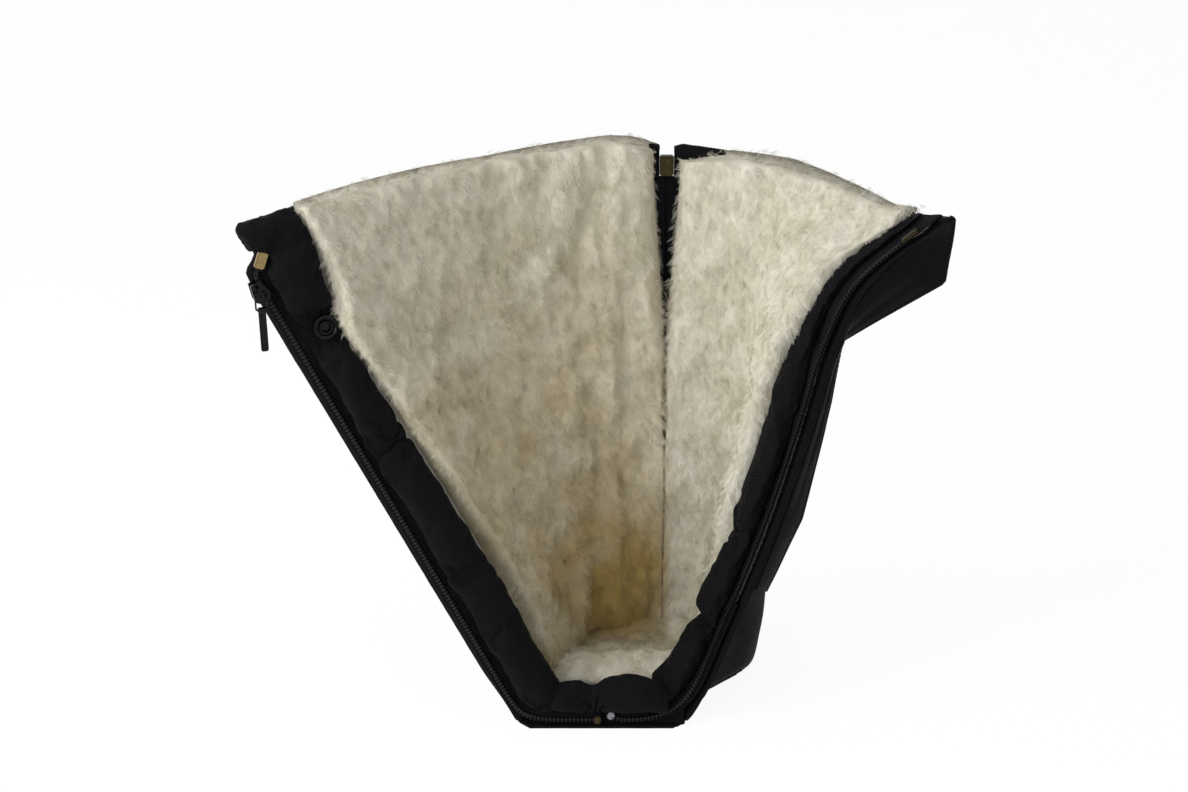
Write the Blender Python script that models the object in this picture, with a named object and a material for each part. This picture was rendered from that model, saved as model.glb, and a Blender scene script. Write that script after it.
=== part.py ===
"""Hand muff for a pram handle, standing open on its toe.

Two padded walls meet at a rear zip seam and stand on a small toe. Each wall is an outer
shell, a sheet of wadding and a pile lining, with a padded facing and half of the front zip
along its open edge. Metres, +Z up, +X to the wearer's right when looking along +Y into the
open front. The origin lies on the resting face of the toe.
"""
import math

import bmesh
import bpy
import numpy as np

# Cloth and padding, in metres
SHELL_T = 0.0018
WADDING_T = 0.0049
WOOL_T = 0.0160
FLOOR_WOOL_T = 0.0105
FLOOR_WOOL_SHARE = (0.05, 0.50)
GAP = 0.0003

# Heights of the rim above the floor
REAR_RIM_Z = 0.343
LEFT_RIM_Z = 0.3325
RIGHT_RIM_Z = 0.346
WOOL_RISE = 0.010
WADDING_RIM_DROP = 0.002

# How far the rim dips at the end of the lapel and at the two handles of the wall's curve
LEFT_RIM_DIPS = (-0.0050, -0.0020, 0.0)
RIGHT_RIM_DIPS = (0.0140, 0.0060, 0.0100)

# Rear seam, a vertical line
SEAM_X = 0.040
SEAM_Y = 0.060
SHELL_SLOT = 0.0085
WADDING_SLOT = 0.0150
WOOL_SLOT = 0.0012
WOOL_SLOT_RIM = 0.0060
WOOL_SLOT_SHARE = (0.60, 0.98)
FOLD_CLOSE = math.radians(18.0)

# Front edges of the two walls, from the floor to the rim
LEFT_EDGE_FOOT = (-0.0516, -0.0400)
LEFT_EDGE_TOP = (-0.2150, -0.0546)
LEFT_KICK_Z = (0.3040, 0.3170)
LEFT_KICK = 0.0110
RIGHT_EDGE_Z = (0.000, 0.026, 0.062, 0.130, 0.211, 0.264, 0.302, 0.346)
RIGHT_EDGE_X = (0.053, 0.0674, 0.081, 0.104, 0.1255, 0.138, 0.1535, 0.1975)
RIGHT_EDGE_Y = (-0.043, -0.043, -0.043, -0.046, -0.052, -0.057, -0.061, -0.066)

# Each wall leaves its edge straight for a lapel, then bends to the seam: floor, rim
LEFT_TURN = (math.radians(20.5), math.radians(20.5))
LEFT_LAPEL = (0.016, 0.034)
LEFT_FRONT_PULL = (0.012, 0.012)
LEFT_REAR_PULL = (0.085, 0.130)
RIGHT_TURN = (math.radians(98.0), math.radians(118.0))
RIGHT_LAPEL = (0.021, 0.048)
RIGHT_FRONT_PULL = (0.010, 0.025)
RIGHT_REAR_PULL = (0.128, 0.096)

# Rolled front edge, front zip and facing, measured inward from the edge
ROLL_T = 0.0042
ROLL_WIDTH = 0.0090
ROLL_SHARES = (0.0, 0.08, 0.3, 0.7, 0.92, 1.0)
WADDING_START = 0.0098
WADDING_LEAD = 0.0220
CHAIN_INSET = 0.0035
TAPE_HEIGHT = SHELL_T + WADDING_T + 2 * GAP
TAPE_T = 0.0008
COIL_BASE = TAPE_T + GAP
TAPE_WIDTH = 0.0140
TAPE_LIP = 0.0012
COIL_WIDTH = 0.0028
COIL_T = 0.0022
CHAIN_TOP = COIL_BASE + COIL_T
FACING_START = 0.0092
FACING_LIP = 0.0016
LEFT_FACING_Z = (0.000, 0.040, 0.100, 0.190, 0.250, 0.270, 0.295, 0.319, 0.3325)
LEFT_FACING_WIDTH = (0.0195, 0.0200, 0.0205, 0.0170, 0.0145, 0.0150, 0.0205, 0.0255, 0.0255)
LEFT_FACING_CROWN = (0.0090, 0.0090, 0.0090, 0.0090, 0.0090, 0.0090, 0.0085, 0.0080, 0.0070)
RIGHT_FACING_Z = (0.000, 0.130, 0.230, 0.262, 0.300, 0.346)
RIGHT_FACING_WIDTH = (0.0195, 0.0195, 0.0190, 0.0150, 0.0085, 0.0080)
RIGHT_FACING_CROWN = (0.0115, 0.0115, 0.0105, 0.0065, 0.0035, 0.0030)
# Dips of the facings: height, flat half length, half length, share of the crown left
LEFT_FACING_DIP = (0.196, 0.0, 0.020, 0.60)
SNAP_DIP = (0.009, 0.022, 0.10)
RIGHT_FACING_DIPS = ((0.128, 0.0, 0.018, 0.62), (0.062, 0.0, 0.013, 0.12))
LEFT_FACING_SETBACK = 0.030
RIGHT_FACING_SETBACK = 0.056
PAD_END_CROWN = 0.35
PAD_END_WIDTH = 0.72
PAD_ROUNDNESS = 0.55
FACING_CAP = 0.0080
FACING_CAP_OVERHANG = 0.0060
LINING_GAP = 0.0022
STEEPEST = 0.70

# Toe
TOE_FRONT_Y = -0.0490
TOE_CORNER_CUT = 0.0080
TOE_ZIP_SETBACK = 0.0035
TOE_WALL_STEP = 0.0010
TOE_SEAM_GAP = 0.0020
TOE_WADDING_T = 0.0080
TOE_WOOL_T = 0.0115
TOE_CHAIN_Z = 0.0048
TOE_LEAN = math.radians(20.0)
TOE_FACING_WIDTH = 0.0155
TOE_FACING_CROWN = 0.0060
TOE_FACING_X = (-0.0300, 0.0330)
TOE_FACING_SKEW = (0.34, -0.10)
TOE_FACING_DIP = (0.43, 0.0, 0.009, 0.30)
TOE_WADDING_START = 0.0085
TOE_WOOL_START = 0.0180
LEFT_CORNER_Z = 0.034
LEFT_CORNER_X = -0.026
RIGHT_CORNER_Z = 0.066
RIGHT_CORNER_X = 0.016
LEFT_CHAIN_END_X = 0.0008
RIGHT_CHAIN_END_X = 0.0048
RIGHT_CHAIN_END_LIFT = 0.0040

# Zip hardware
SLIDER_LENGTH = 0.0120
SLIDER_WIDTH = 0.0098
SLIDER_PLATE_T = 0.0014
SLIDER_CLEARANCE = 0.0005
DIAMOND_WIDTH = 0.0014
DIAMOND_SPAN = (0.0006, 0.0038)
FLANGE_SPAN = (0.0018, 0.0038)
FLANGE_FOOT = 0.0015
JOIN_OVERLAP = 0.0004
BRIDGE_WIDTH = 0.0016
BRIDGE_LENGTH = 0.0074
BRIDGE_POST = 0.0014
BRIDGE_RISE = 0.0022
BRIDGE_T = 0.0010
BRIDGE_LIP = 0.0001
LINK_WIRE = 0.0011
LINK_WIDTH = 0.0078
LINK_DROP = 0.0102
LINK_CORNER = 0.0013
TAB_TOP = 0.0012
TAB_LENGTH = 0.0232
TAB_WIDTH = 0.0044
TAB_T = 0.0018
KNUCKLE_D = 0.0036
EYE_D = 0.0020
BOX_LENGTH = 0.0100
BOX_WIDTH = 0.0058
BOX_T = 0.0036
REAR_BOX_LENGTH = 0.0125
REAR_BOX_WIDTH = 0.0086
PIN_LENGTH = 0.0110
PIN_WIDTH = 0.0042
PIN_T = 0.0016
STOP_LENGTH = 0.0040
STOP_WIDTH = 0.0046
STOP_T = 0.0034
FLANGE_T = 0.0006

# Places of the zip hardware
FRONT_BOX_Z = 0.3145
FRONT_SLIDER_OFFSET = -0.0026
BOX_SLIDER_GAP = 0.0075
BOX_CHAIN_GAP = 0.0010
BOX_OFFSET = -0.0012
REAR_BOX_BACK = 0.0014
REAR_CHAIN_LAP = 0.0010
PIN_LIFT = 0.0001
RIM_HEM = 0.0030
RIGHT_PIN_START = 0.0150
REAR_SLIDER_Z = 0.0520
REAR_STOP_Z = 0.0385
REAR_BOX_Z = 0.3290
REAR_TAPE_FOOT_Z = 0.0300
REAR_TAPE_WIDTH = 0.0110
REAR_TAPE_SLOT = 0.0010
REAR_TAPE_DROP = 0.0012
REAR_CHAIN_WIDTH = 0.0056

# Storm flap, sewn outside the right edge: heights of its seam and places of its free edge
FLAP_T = 0.0026
FLAP_INSET = 0.0035
FLAP_SEAM_Z = (0.3372, 0.3085, 0.273, 0.223, 0.178, 0.137, 0.094)
FLAP_FREE_X = (0.2013, 0.1977, 0.1391, 0.1348, 0.1284, 0.1212, 0.1010)
FLAP_FREE_Y = (-0.050, -0.044, -0.037, -0.033, -0.029, -0.026, -0.024)
FLAP_FREE_Z = (0.3406, 0.2956, 0.2557, 0.2158, 0.1745, 0.1344, 0.0830)
FLAP_BOW = 0.06
FLAP_BOW_WAY = np.array([0.6, -0.8, 0.0])
FLAP_STEPS = 24
FLAP_COLUMNS = 6

# Snap fastener
SNAP_D = 0.0150
SNAP_T = 0.0030
SNAP_DIMPLE_D = 0.0066
SNAP_DIMPLE_DEPTH = 0.0014
SNAP_BARREL_D = 0.0052
SNAP_FLANGE_D = 0.0074
SNAP_FLANGE_T = 0.0008
SNAP_HOLE_D = 0.0060
SNAP_HOLE_DEPTH = 0.0200
SNAP_ACROSS = 0.0180
SNAP_Z = 0.2690
STUD_INSET = 0.0620
STUD_LEVEL = 0.86
STUD_HEAD_D = 0.0052
STUD_GAP = 0.0012

# Grid steps. The walls' rows lie closer where the left edge turns in
SEAM_RUN = 0.0220
WALL_STEPS = 13
LEFT_ROWS_Z = (0.034, 0.078, 0.122, 0.166, 0.210, 0.250, 0.282, LEFT_KICK_Z[0],
               sum(LEFT_KICK_Z) / 2, LEFT_KICK_Z[1], 0.3245)
RIGHT_ROWS_Z = (0.033, 0.048, 0.062, 0.079, 0.096, 0.113, 0.130, 0.150, 0.172, 0.192,
                0.211, 0.238, 0.264, 0.284, 0.302, 0.313, 0.324, 0.335)
EDGE_STEP = 0.0055
PAD_STEP = 0.0054
PAD_END = 0.012
PAD_ROWS = 6


def lerp(a, b, t):
    return a + (b - a) * t


def unit(vector):
    vector = np.asarray(vector, float)
    return vector / np.linalg.norm(vector)


def smooth_through(x, xs, ys):
    """Value at x of a smooth curve through the points (xs, ys), straight beyond its ends."""
    xs = np.asarray(xs, float)
    ys = np.asarray(ys, float)
    slopes = np.gradient(ys, xs)
    if x >= xs[-1]:
        return ys[-1] + slopes[-1] * (x - xs[-1])
    i = max(0, int(np.searchsorted(xs, x, side="right")) - 1)
    span = xs[i + 1] - xs[i]
    t = (x - xs[i]) / span
    h00 = (1 + 2 * t) * (1 - t) ** 2
    h10 = t * (1 - t) ** 2
    h01 = t * t * (3 - 2 * t)
    h11 = t * t * (t - 1)
    return h00 * ys[i] + h10 * span * slopes[i] + h01 * ys[i + 1] + h11 * span * slopes[i + 1]


def smooth_step(low, high, x):
    t = min(1.0, max(0.0, (x - low) / (high - low)))
    return t * t * (3 - 2 * t)


def left_kick(z):
    """Share of the step by which the left edge and its chain turn in below the rim."""
    return smooth_step(*LEFT_KICK_Z, z)


def bezier(p0, p1, p2, p3, t):
    t = np.asarray(t, float)[:, None]
    return ((1 - t) ** 3 * p0 + 3 * (1 - t) ** 2 * t * p1
            + 3 * (1 - t) * t ** 2 * p2 + t ** 3 * p3)


class Wall:
    """The outer face of one wall as a map from (inset from the front edge, level) to a point.

    A level is a share of the rim height. At each level the wall runs straight back from its
    front edge for the width of the lapel and then as one smooth curve to the rear seam.
    Depths are measured inward from this face.
    """

    def __init__(self, side):
        self.side = side
        left = side == "left"
        self.sign = -1.0 if left else 1.0
        self.rim = LEFT_RIM_Z if left else RIGHT_RIM_Z
        self.turn = LEFT_TURN if left else RIGHT_TURN
        self.lapel = LEFT_LAPEL if left else RIGHT_LAPEL
        self.front_pull = LEFT_FRONT_PULL if left else RIGHT_FRONT_PULL
        self.rear_pull = LEFT_REAR_PULL if left else RIGHT_REAR_PULL
        self.facing_heights = LEFT_FACING_Z if left else RIGHT_FACING_Z
        self.facing_widths = LEFT_FACING_WIDTH if left else RIGHT_FACING_WIDTH
        self.facing_crowns = LEFT_FACING_CROWN if left else RIGHT_FACING_CROWN
        self.rim_dips = LEFT_RIM_DIPS if left else RIGHT_RIM_DIPS
        self.row_heights = LEFT_ROWS_Z if left else RIGHT_ROWS_Z
        self.sections = {}
        self.lowest_rim = min(self.section(1.0)[0][:, 2])

    def edge(self, level):
        z = level * self.rim
        if self.side == "right":
            return np.array([smooth_through(z, RIGHT_EDGE_Z, RIGHT_EDGE_X),
                             smooth_through(z, RIGHT_EDGE_Z, RIGHT_EDGE_Y), z])
        straight = np.array([lerp(LEFT_EDGE_FOOT[0], LEFT_EDGE_TOP[0], level),
                             lerp(LEFT_EDGE_FOOT[1], LEFT_EDGE_TOP[1], level), z])
        return straight + self.kick(level) * self.lapel_run(level)

    def kick(self, level):
        return LEFT_KICK * left_kick(level * self.rim) if self.side == "left" else 0.0

    def lapel_width(self, level):
        return lerp(*self.lapel, level) - self.kick(level)

    def steepness(self, level):
        """Share of the edge's run that is vertical, by which level widths across it grow."""
        if self.side == "left":
            rise = np.array([*np.subtract(LEFT_EDGE_TOP, LEFT_EDGE_FOOT), self.rim])
        else:
            rise = self.edge(level + 0.02) - self.edge(level - 0.02)
        return max(STEEPEST, unit(rise)[2])

    def facing(self, level, values):
        """Facing size at a level, from its sizes at the heights where it is given."""
        return float(np.interp(level * self.rim, self.facing_heights, values))

    def facing_width(self, level):
        """Width across the cloth. The border with the pile runs past the turned edge."""
        return self.facing(level, self.facing_widths) - self.kick(level)

    def lining_start(self, level):
        facing = (FACING_START + self.facing_width(level)) / self.steepness(level)
        return CHAIN_INSET + facing + LINING_GAP

    def rows(self, low, high):
        """Levels of a layer's rows, on heights that all layers share."""
        feet = [z / self.lowest_rim for z in (TOE_WADDING_Z, TOE_WOOL_Z, LINING_Z)
                if z >= low]
        inner = [z / self.rim for z in self.row_heights if z < high - 0.004]
        return feet + inner + [high / self.rim]

    def lapel_run(self, level):
        """Level direction that runs back from the front edge along the lapel."""
        turn = lerp(*self.turn, level)
        return np.array([math.cos(turn), math.sin(turn), 0.0])

    def lapel_line(self, level):
        """Step along the lapel for each metre of inset, which follows the rim's slope."""
        fall = level * self.rim_dips[0] / self.lapel_width(level)
        return self.lapel_run(level) - np.array([0.0, 0.0, fall])

    def section(self, level):
        key = round(level, 6)
        if key not in self.sections:
            front = self.edge(level)
            rear = np.array([SEAM_X, SEAM_Y, level * REAR_RIM_Z])
            run = self.lapel_run(level)
            start = front + self.lapel_width(level) * self.lapel_line(level)
            near = start + lerp(*self.front_pull, level) * run
            far = rear + lerp(*self.rear_pull, level) * np.array([self.sign, 0.0, 0.0])
            near[2] = lerp(start[2], rear[2], 1 / 3) - level * self.rim_dips[1]
            far[2] = lerp(start[2], rear[2], 2 / 3) - level * self.rim_dips[2]
            lapel = [lerp(front, start, k / 8) for k in range(8)]
            points = np.vstack([lapel, bezier(start, near, far, rear, np.linspace(0, 1, 81))])
            steps = np.linalg.norm(np.diff(points, axis=0), axis=1)
            self.sections[key] = (points, np.concatenate([[0.0], np.cumsum(steps)]))
        return self.sections[key]

    def width(self, level):
        return self.section(level)[1][-1]

    def inward(self, run):
        return np.array([-self.sign * run[1], self.sign * run[0], 0.0])

    def at(self, inset, level, depth):
        """Point at a depth under the outer face, on a level line square to the cloth."""
        points, length = self.section(level)
        place = np.array([np.interp(inset, length, points[:, k]) for k in range(3)])
        lapel = self.lapel_width(level)
        if inset <= lapel:
            run = self.lapel_run(level)
        else:
            reach = min(0.012, inset - lapel + 0.001, length[-1] - inset + 0.001)
            ends = [[np.interp(inset + side * reach, length, points[:, k]) for k in range(2)]
                    for side in (-1, 1)]
            run = unit(np.subtract(ends[1], ends[0]))
        return place + depth * self.inward(run)

    def normal(self, inset, level):
        """Unit vector square to the outer face, pointing inward."""
        run = self.at(inset + 0.002, level, 0.0) - self.at(inset - 0.002, level, 0.0)
        rise = self.at(inset, level + 0.01, 0.0) - self.at(inset, level - 0.01, 0.0)
        return unit(np.cross(rise, run)) * self.sign


WALLS = {"left": Wall("left"), "right": Wall("right")}
SEAM_FOOT = (SEAM_X, SEAM_Y, 0.0)
HALF_FOLD = FOLD_CLOSE / 2 + math.radians(0.6)

WADDING_DEPTH = SHELL_T + GAP
WOOL_DEPTH = WADDING_DEPTH + WADDING_T + GAP
TOE_WADDING_Z = SHELL_T + GAP
TOE_WOOL_Z = TOE_WADDING_Z + TOE_WADDING_T + GAP
LINING_Z = TOE_WOOL_Z + TOE_WOOL_T + GAP


def seam_end(wall, level, depth, slot):
    """Inset at which a layer stops short of the rear seam, opened as a wedge for the fold."""
    return wall.width(level) - slot - depth * math.tan(HALF_FOLD)


# Meshes and objects

model = None
origins = {}


def start_scene():
    global model
    for item in list(bpy.data.objects):
        bpy.data.objects.remove(item, do_unlink=True)
    model = bpy.data.collections.new("hand_muff")
    bpy.context.scene.collection.children.link(model)
    cutters = bpy.data.collections.new("cutters")
    bpy.context.scene.collection.children.link(cutters)
    return cutters


def material(name, colour, roughness, metallic=0.0):
    made = bpy.data.materials.get(name)
    if made is None:
        made = bpy.data.materials.new(name)
        made.use_nodes = True
        shader = made.node_tree.nodes["Principled BSDF"]
        shader.inputs["Base Color"].default_value = (*colour, 1.0)
        shader.inputs["Roughness"].default_value = roughness
        shader.inputs["Metallic"].default_value = metallic
    return made


def add_object(name, mesh, finish, origin=(0.0, 0.0, 0.0), parent=None):
    """Object whose mesh is given in world places, with its own origin and parent."""
    origin = np.asarray(origin, float)
    for vertex in mesh.vertices:
        vertex.co = [vertex.co[k] - origin[k] for k in range(3)]
    mesh.materials.append(finish)
    item = bpy.data.objects.new(name, mesh)
    model.objects.link(item)
    place_item(item, origin, parent)
    return item


def place_item(item, origin, parent):
    """Puts an object at a world place. No object is turned, so places simply add up."""
    origins[item.name] = np.asarray(origin, float)
    item.location = origins[item.name]
    if parent is not None:
        item.parent = parent
        item.location = origins[item.name] - origins[parent.name]


def add_axis(name, place):
    """Empty on a joint's axis, which carries the pieces that turn with it."""
    empty = bpy.data.objects.new(name, None)
    empty.empty_display_size = 0.01
    model.objects.link(empty)
    place_item(empty, place, None)
    return empty


def loft(name, rails, smooth=True):
    """Closed mesh through stations, each an outer and an inner row of equally many points.

    Both rows are split along the same diagonals, so that layers lie on each other evenly.
    """
    count = len(rails[0][0])
    points = []
    for outer, inner in rails:
        points.extend(outer)
        points.extend(inner[::-1])
    ring = 2 * count
    faces = []
    for s in range(len(rails) - 1):
        low, high = s * ring, (s + 1) * ring
        for k in range(ring):
            after = (k + 1) % ring
            if k < count:
                faces.append((low + k, low + after, high + after))
                faces.append((low + k, high + after, high + k))
            else:
                faces.append((low + k, low + after, high + k))
                faces.append((low + after, high + after, high + k))
    for base in (0, (len(rails) - 1) * ring):
        for k in range(count - 1):
            faces.append((base + k, base + k + 1, base + ring - 2 - k, base + ring - 1 - k))
    mesh = bpy.data.meshes.new(name)
    mesh.from_pydata([tuple(map(float, p)) for p in points], [], faces)
    shape = bmesh.new()
    shape.from_mesh(mesh)
    mesh = closed_mesh(mesh, shape)
    if smooth:
        mesh.shade_smooth()
        mesh.set_sharp_from_angle(angle=math.radians(50))
    return mesh


def closed_mesh(mesh, shape):
    """Writes a closed shape into a mesh with its faces outward."""
    shape.normal_update()
    bmesh.ops.recalc_face_normals(shape, faces=shape.faces)
    if shape.calc_volume(signed=True) < 0:
        bmesh.ops.reverse_faces(shape, faces=shape.faces)
    shape.to_mesh(mesh)
    shape.free()
    return mesh


def box_mesh(name, centre, axes, size, bevel=0.0):
    """Box with its own axes: size along each of three unit vectors."""
    shape = bmesh.new()
    bmesh.ops.create_cube(shape, size=1.0)
    for vertex in shape.verts:
        vertex.co = [vertex.co[k] * size[k] for k in range(3)]
    if bevel:
        bmesh.ops.bevel(shape, geom=shape.edges[:], offset=bevel, segments=2, affect="EDGES")
    axes = np.array(axes, float)
    for vertex in shape.verts:
        vertex.co = np.asarray(centre, float) + np.asarray(vertex.co) @ axes
    return closed_mesh(bpy.data.meshes.new(name), shape)


def cylinder_mesh(name, centre, axis, radius, length, segments=16):
    shape = bmesh.new()
    bmesh.ops.create_cone(shape, cap_ends=True, segments=segments, radius1=radius,
                          radius2=radius, depth=length)
    along = unit(axis)
    side = unit(np.cross(along, [0.31, 0.17, 0.94]))
    axes = np.array([side, np.cross(along, side), along])
    for vertex in shape.verts:
        vertex.co = np.asarray(centre, float) + np.asarray(vertex.co) @ axes
    return closed_mesh(bpy.data.meshes.new(name), shape)


def boolean(item, mesh, operation, collection):
    """Joins or cuts an object with a mesh given in world places."""
    tool = bpy.data.objects.new(mesh.name, mesh)
    tool.hide_render = True
    tool.display_type = "WIRE"
    collection.objects.link(tool)
    step = item.modifiers.new(mesh.name, "BOOLEAN")
    step.operation = operation
    step.object = tool
    return tool


# Walls

def wall_insets(wall, level, lead, end):
    """Insets of a layer's columns: its own lead, then the shared ones, then its own end."""
    begin = wall.lining_start(level)
    last = wall.width(level) - SEAM_RUN
    shared = [lerp(begin, last, k / WALL_STEPS) for k in range(WALL_STEPS + 1)]
    return list(lead) + shared + [end]


def wool_thickness(level):
    return lerp(FLOOR_WOOL_T, WOOL_T, smooth_step(*FLOOR_WOOL_SHARE, level))


def shell_rails(wall):
    """The shell's front edge is rolled, so it is thicker there than over the wall."""
    rails = []
    for level in wall.rows(TOE_WADDING_Z, wall.rim):
        rolled = [ROLL_WIDTH * share for share in ROLL_SHARES]
        lead = rolled + [WADDING_START, WADDING_LEAD]
        rows = []
        for inner in (False, True):
            end = seam_end(wall, level, SHELL_T if inner else 0.0, SHELL_SLOT)
            row = []
            for inset in wall_insets(wall, level, lead, end):
                share = min(1.0, inset / ROLL_WIDTH)
                bulge = math.sqrt(math.sin(math.pi * share)) if 0.0 < share < 1.0 else 0.0
                depth = lerp(SHELL_T, ROLL_T, bulge) if inner else 0.0
                row.append(wall.at(inset, level, depth))
            rows.append(row)
        rails.append(tuple(rows))
    return rails


def wadding_rails(wall):
    rails = []
    for level in wall.rows(TOE_WOOL_Z, wall.rim - WADDING_RIM_DROP):
        rows = []
        for depth in (WADDING_DEPTH, WADDING_DEPTH + WADDING_T):
            end = seam_end(wall, level, depth, WADDING_SLOT)
            insets = wall_insets(wall, level, (WADDING_START, WADDING_LEAD), end)
            rows.append([wall.at(inset, level, depth) for inset in insets])
        rails.append(tuple(rows))
    return rails


def wool_rails(wall):
    rails = []
    for level in wall.rows(LINING_Z, wall.rim + WOOL_RISE):
        rows = []
        slot = WOOL_SLOT + WOOL_SLOT_RIM * smooth_step(*WOOL_SLOT_SHARE, level)
        for depth in (WOOL_DEPTH, WOOL_DEPTH + wool_thickness(level)):
            height = min(level, 1.0) if depth == WOOL_DEPTH else level
            end = seam_end(wall, height, depth, slot)
            rows.append([wall.at(inset, height, depth)
                         for inset in wall_insets(wall, height, (), end)])
        rails.append(tuple(rows))
    return rails


def build_walls(finishes, parents):
    for side, wall in WALLS.items():
        layers = (
            ("shell", "cloth", shell_rails(wall)),
            ("wadding", "wadding", wadding_rails(wall)),
            ("wool", "wool", wool_rails(wall)),
        )
        for layer, finish, rails in layers:
            name = f"{side}_{layer}"
            add_object(name, loft(name, rails), finishes[finish], SEAM_FOOT, parents[side])


# Toe

def toe_rails(depth, front_y, low, high):
    """Rails of a flat layer of the toe: its left and right outlines at two heights."""
    rows = []
    for wall in WALLS.values():
        end = wall.width(0.0) - TOE_SEAM_GAP
        lead = (0.0, ROLL_WIDTH, WADDING_START, WADDING_LEAD)
        past_roll = max(depth, ROLL_T + 2 * GAP) if depth else 0.0
        row = [wall.at(inset, 0.0, past_roll if inset <= ROLL_WIDTH else depth)
               for inset in wall_insets(wall, 0.0, lead, end)]
        if row[0][1] > front_y:
            front = row[0][0] - wall.sign * TOE_CORNER_CUT
        else:
            front = float(np.interp(front_y, [p[1] for p in row[:4]], [p[0] for p in row[:4]]))
        row = [place for place in row if place[1] > front_y + TOE_WALL_STEP]
        rows.append([np.array([front, front_y, 0.0])] + row)
    count = max(len(row) for row in rows)
    rails = []
    for z in (low, high):
        rails.append([[np.array([place[0], place[1], z]) for place in padded(row, count)]
                      for row in rows])
    return rails


def padded(row, count):
    """The same outline with more points, split off its first span."""
    extra = count - len(row)
    first = [lerp(row[0], row[1], (k + 1) / (extra + 1)) for k in range(extra)]
    return [row[0]] + first + row[1:]


def build_toe(finishes):
    layers = (
        ("toe_shell", "cloth", 0.0, TOE_FRONT_Y, 0.0, SHELL_T),
        ("toe_wadding", "wadding", WADDING_DEPTH, TOE_FRONT_Y + TOE_WADDING_START,
         TOE_WADDING_Z, TOE_WADDING_Z + TOE_WADDING_T),
        ("toe_wool", "wool", WOOL_DEPTH, TOE_FRONT_Y + TOE_WOOL_START,
         TOE_WOOL_Z, TOE_WOOL_Z + TOE_WOOL_T),
    )
    for name, finish, depth, front_y, low, high in layers:
        add_object(name, loft(name, toe_rails(depth, front_y, low, high), False),
                   finishes[finish])


# Front edge path

TOE_OUT = np.array([0.0, -math.cos(TOE_LEAN), math.sin(TOE_LEAN)])
TOE_INWARD = np.array([0.0, math.sin(TOE_LEAN), math.cos(TOE_LEAN)])
RIM_STEPS = 90
TURN_STEPS = 24


class Edge:
    """The line of one zip chain from the rim, round the toe's corner, to the toe's middle.

    It runs along the underside of the tape. Offsets are taken across the tape, inward from
    the chain, and out of the tape's face.
    """

    def __init__(self, side):
        self.wall = wall = WALLS[side]
        left = side == "left"
        corner_z = LEFT_CORNER_Z if left else RIGHT_CORNER_Z
        corner_x = LEFT_CORNER_X if left else RIGHT_CORNER_X
        end_x = LEFT_CHAIN_END_X if left else RIGHT_CHAIN_END_X
        lift = 0.0 if left else RIGHT_CHAIN_END_LIFT
        self.levels = np.linspace(1.0, corner_z / wall.rim, RIM_STEPS)
        rim_part = [wall.at(CHAIN_INSET, level, TAPE_HEIGHT)
                    for level in self.levels]
        toe_start = np.array([corner_x, TOE_FRONT_Y + TOE_ZIP_SETBACK, TOE_CHAIN_Z])
        toe_run = np.array([-wall.sign, 0.0, 0.0])
        reach = 0.5 * np.linalg.norm(toe_start - rim_part[-1])
        turn_run = unit(rim_part[-1] - rim_part[-2])
        turn = bezier(rim_part[-1], rim_part[-1] + reach * turn_run,
                      toe_start - reach * toe_run, toe_start, np.linspace(0, 1, TURN_STEPS))
        toe_part = [toe_start + toe_run * abs(end_x - corner_x) * share
                    + TOE_INWARD * lift * share * share
                    for share in np.linspace(0, 1, 10)]
        self.points = np.vstack([rim_part, turn[1:], toe_part[1:]])
        steps = np.linalg.norm(np.diff(self.points, axis=0), axis=1)
        self.length = np.concatenate([[0.0], np.cumsum(steps)])
        self.turn_start = self.length[RIM_STEPS - 1]
        self.turn_end = self.length[RIM_STEPS + TURN_STEPS - 2]
        self.total = self.length[-1]

    def place(self, s):
        return np.array([np.interp(s, self.length, self.points[:, k]) for k in range(3)])

    def run(self, s):
        return unit(self.place(min(self.total, s + 0.002)) - self.place(max(0.0, s - 0.002)))

    def frame(self, s):
        """Place, direction inward across the tape and direction out of its face, square."""
        run = self.run(s)
        wall_run = self.wall.lapel_line(self.level(s))
        turned = smooth_step(self.turn_start, self.turn_end, s)
        out = unit(np.cross(wall_run, run)) * self.wall.sign
        out = lerp(out, TOE_OUT, turned)
        out = unit(out - run * float(out @ run))
        inward = np.cross(run, out) * self.wall.sign
        return self.place(s), inward, out, wall_run, turned

    def level(self, s):
        return float(np.interp(s, self.length[:RIM_STEPS], self.levels))

    def at(self, s, across, out_by):
        place, inward, out, wall_run, turned = self.frame(s)
        slope = self.wall.steepness(self.level(s))
        level_offset = wall_run * across / slope + self.wall.inward(wall_run) * out_by
        return place + lerp(level_offset, across * inward + out_by * out, turned)

    def length_at_z(self, z):
        return float(np.interp(-z, -self.points[:RIM_STEPS, 2], self.length[:RIM_STEPS]))


class ToeEdge:
    """The same offsets along the toe's front, between the two corners."""

    def __init__(self):
        self.total = TOE_FACING_X[1] - TOE_FACING_X[0]

    def at(self, s, across, out_by):
        share = s / self.total
        skew = lerp(TOE_FACING_SKEW[0], TOE_FACING_SKEW[1], share)
        foot = np.array([TOE_FACING_X[0] + s, TOE_FRONT_Y + TOE_ZIP_SETBACK, TOE_CHAIN_Z])
        return foot + across * (TOE_INWARD + np.array([skew, 0.0, 0.0])) + out_by * TOE_OUT


def strip_rails(edge, start, end):
    """Rails of the tape."""
    count = int(round((end - start) / EDGE_STEP)) + 1
    columns = (-TAPE_LIP, COIL_WIDTH / 2, 0.5 * TAPE_WIDTH, TAPE_WIDTH)
    rails = []
    for s in np.linspace(start, end, count):
        outer = [edge.at(s, across, TAPE_T) for across in columns]
        inner = [edge.at(s, across, 0.0) for across in columns]
        rails.append((outer, inner))
    return rails


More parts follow.
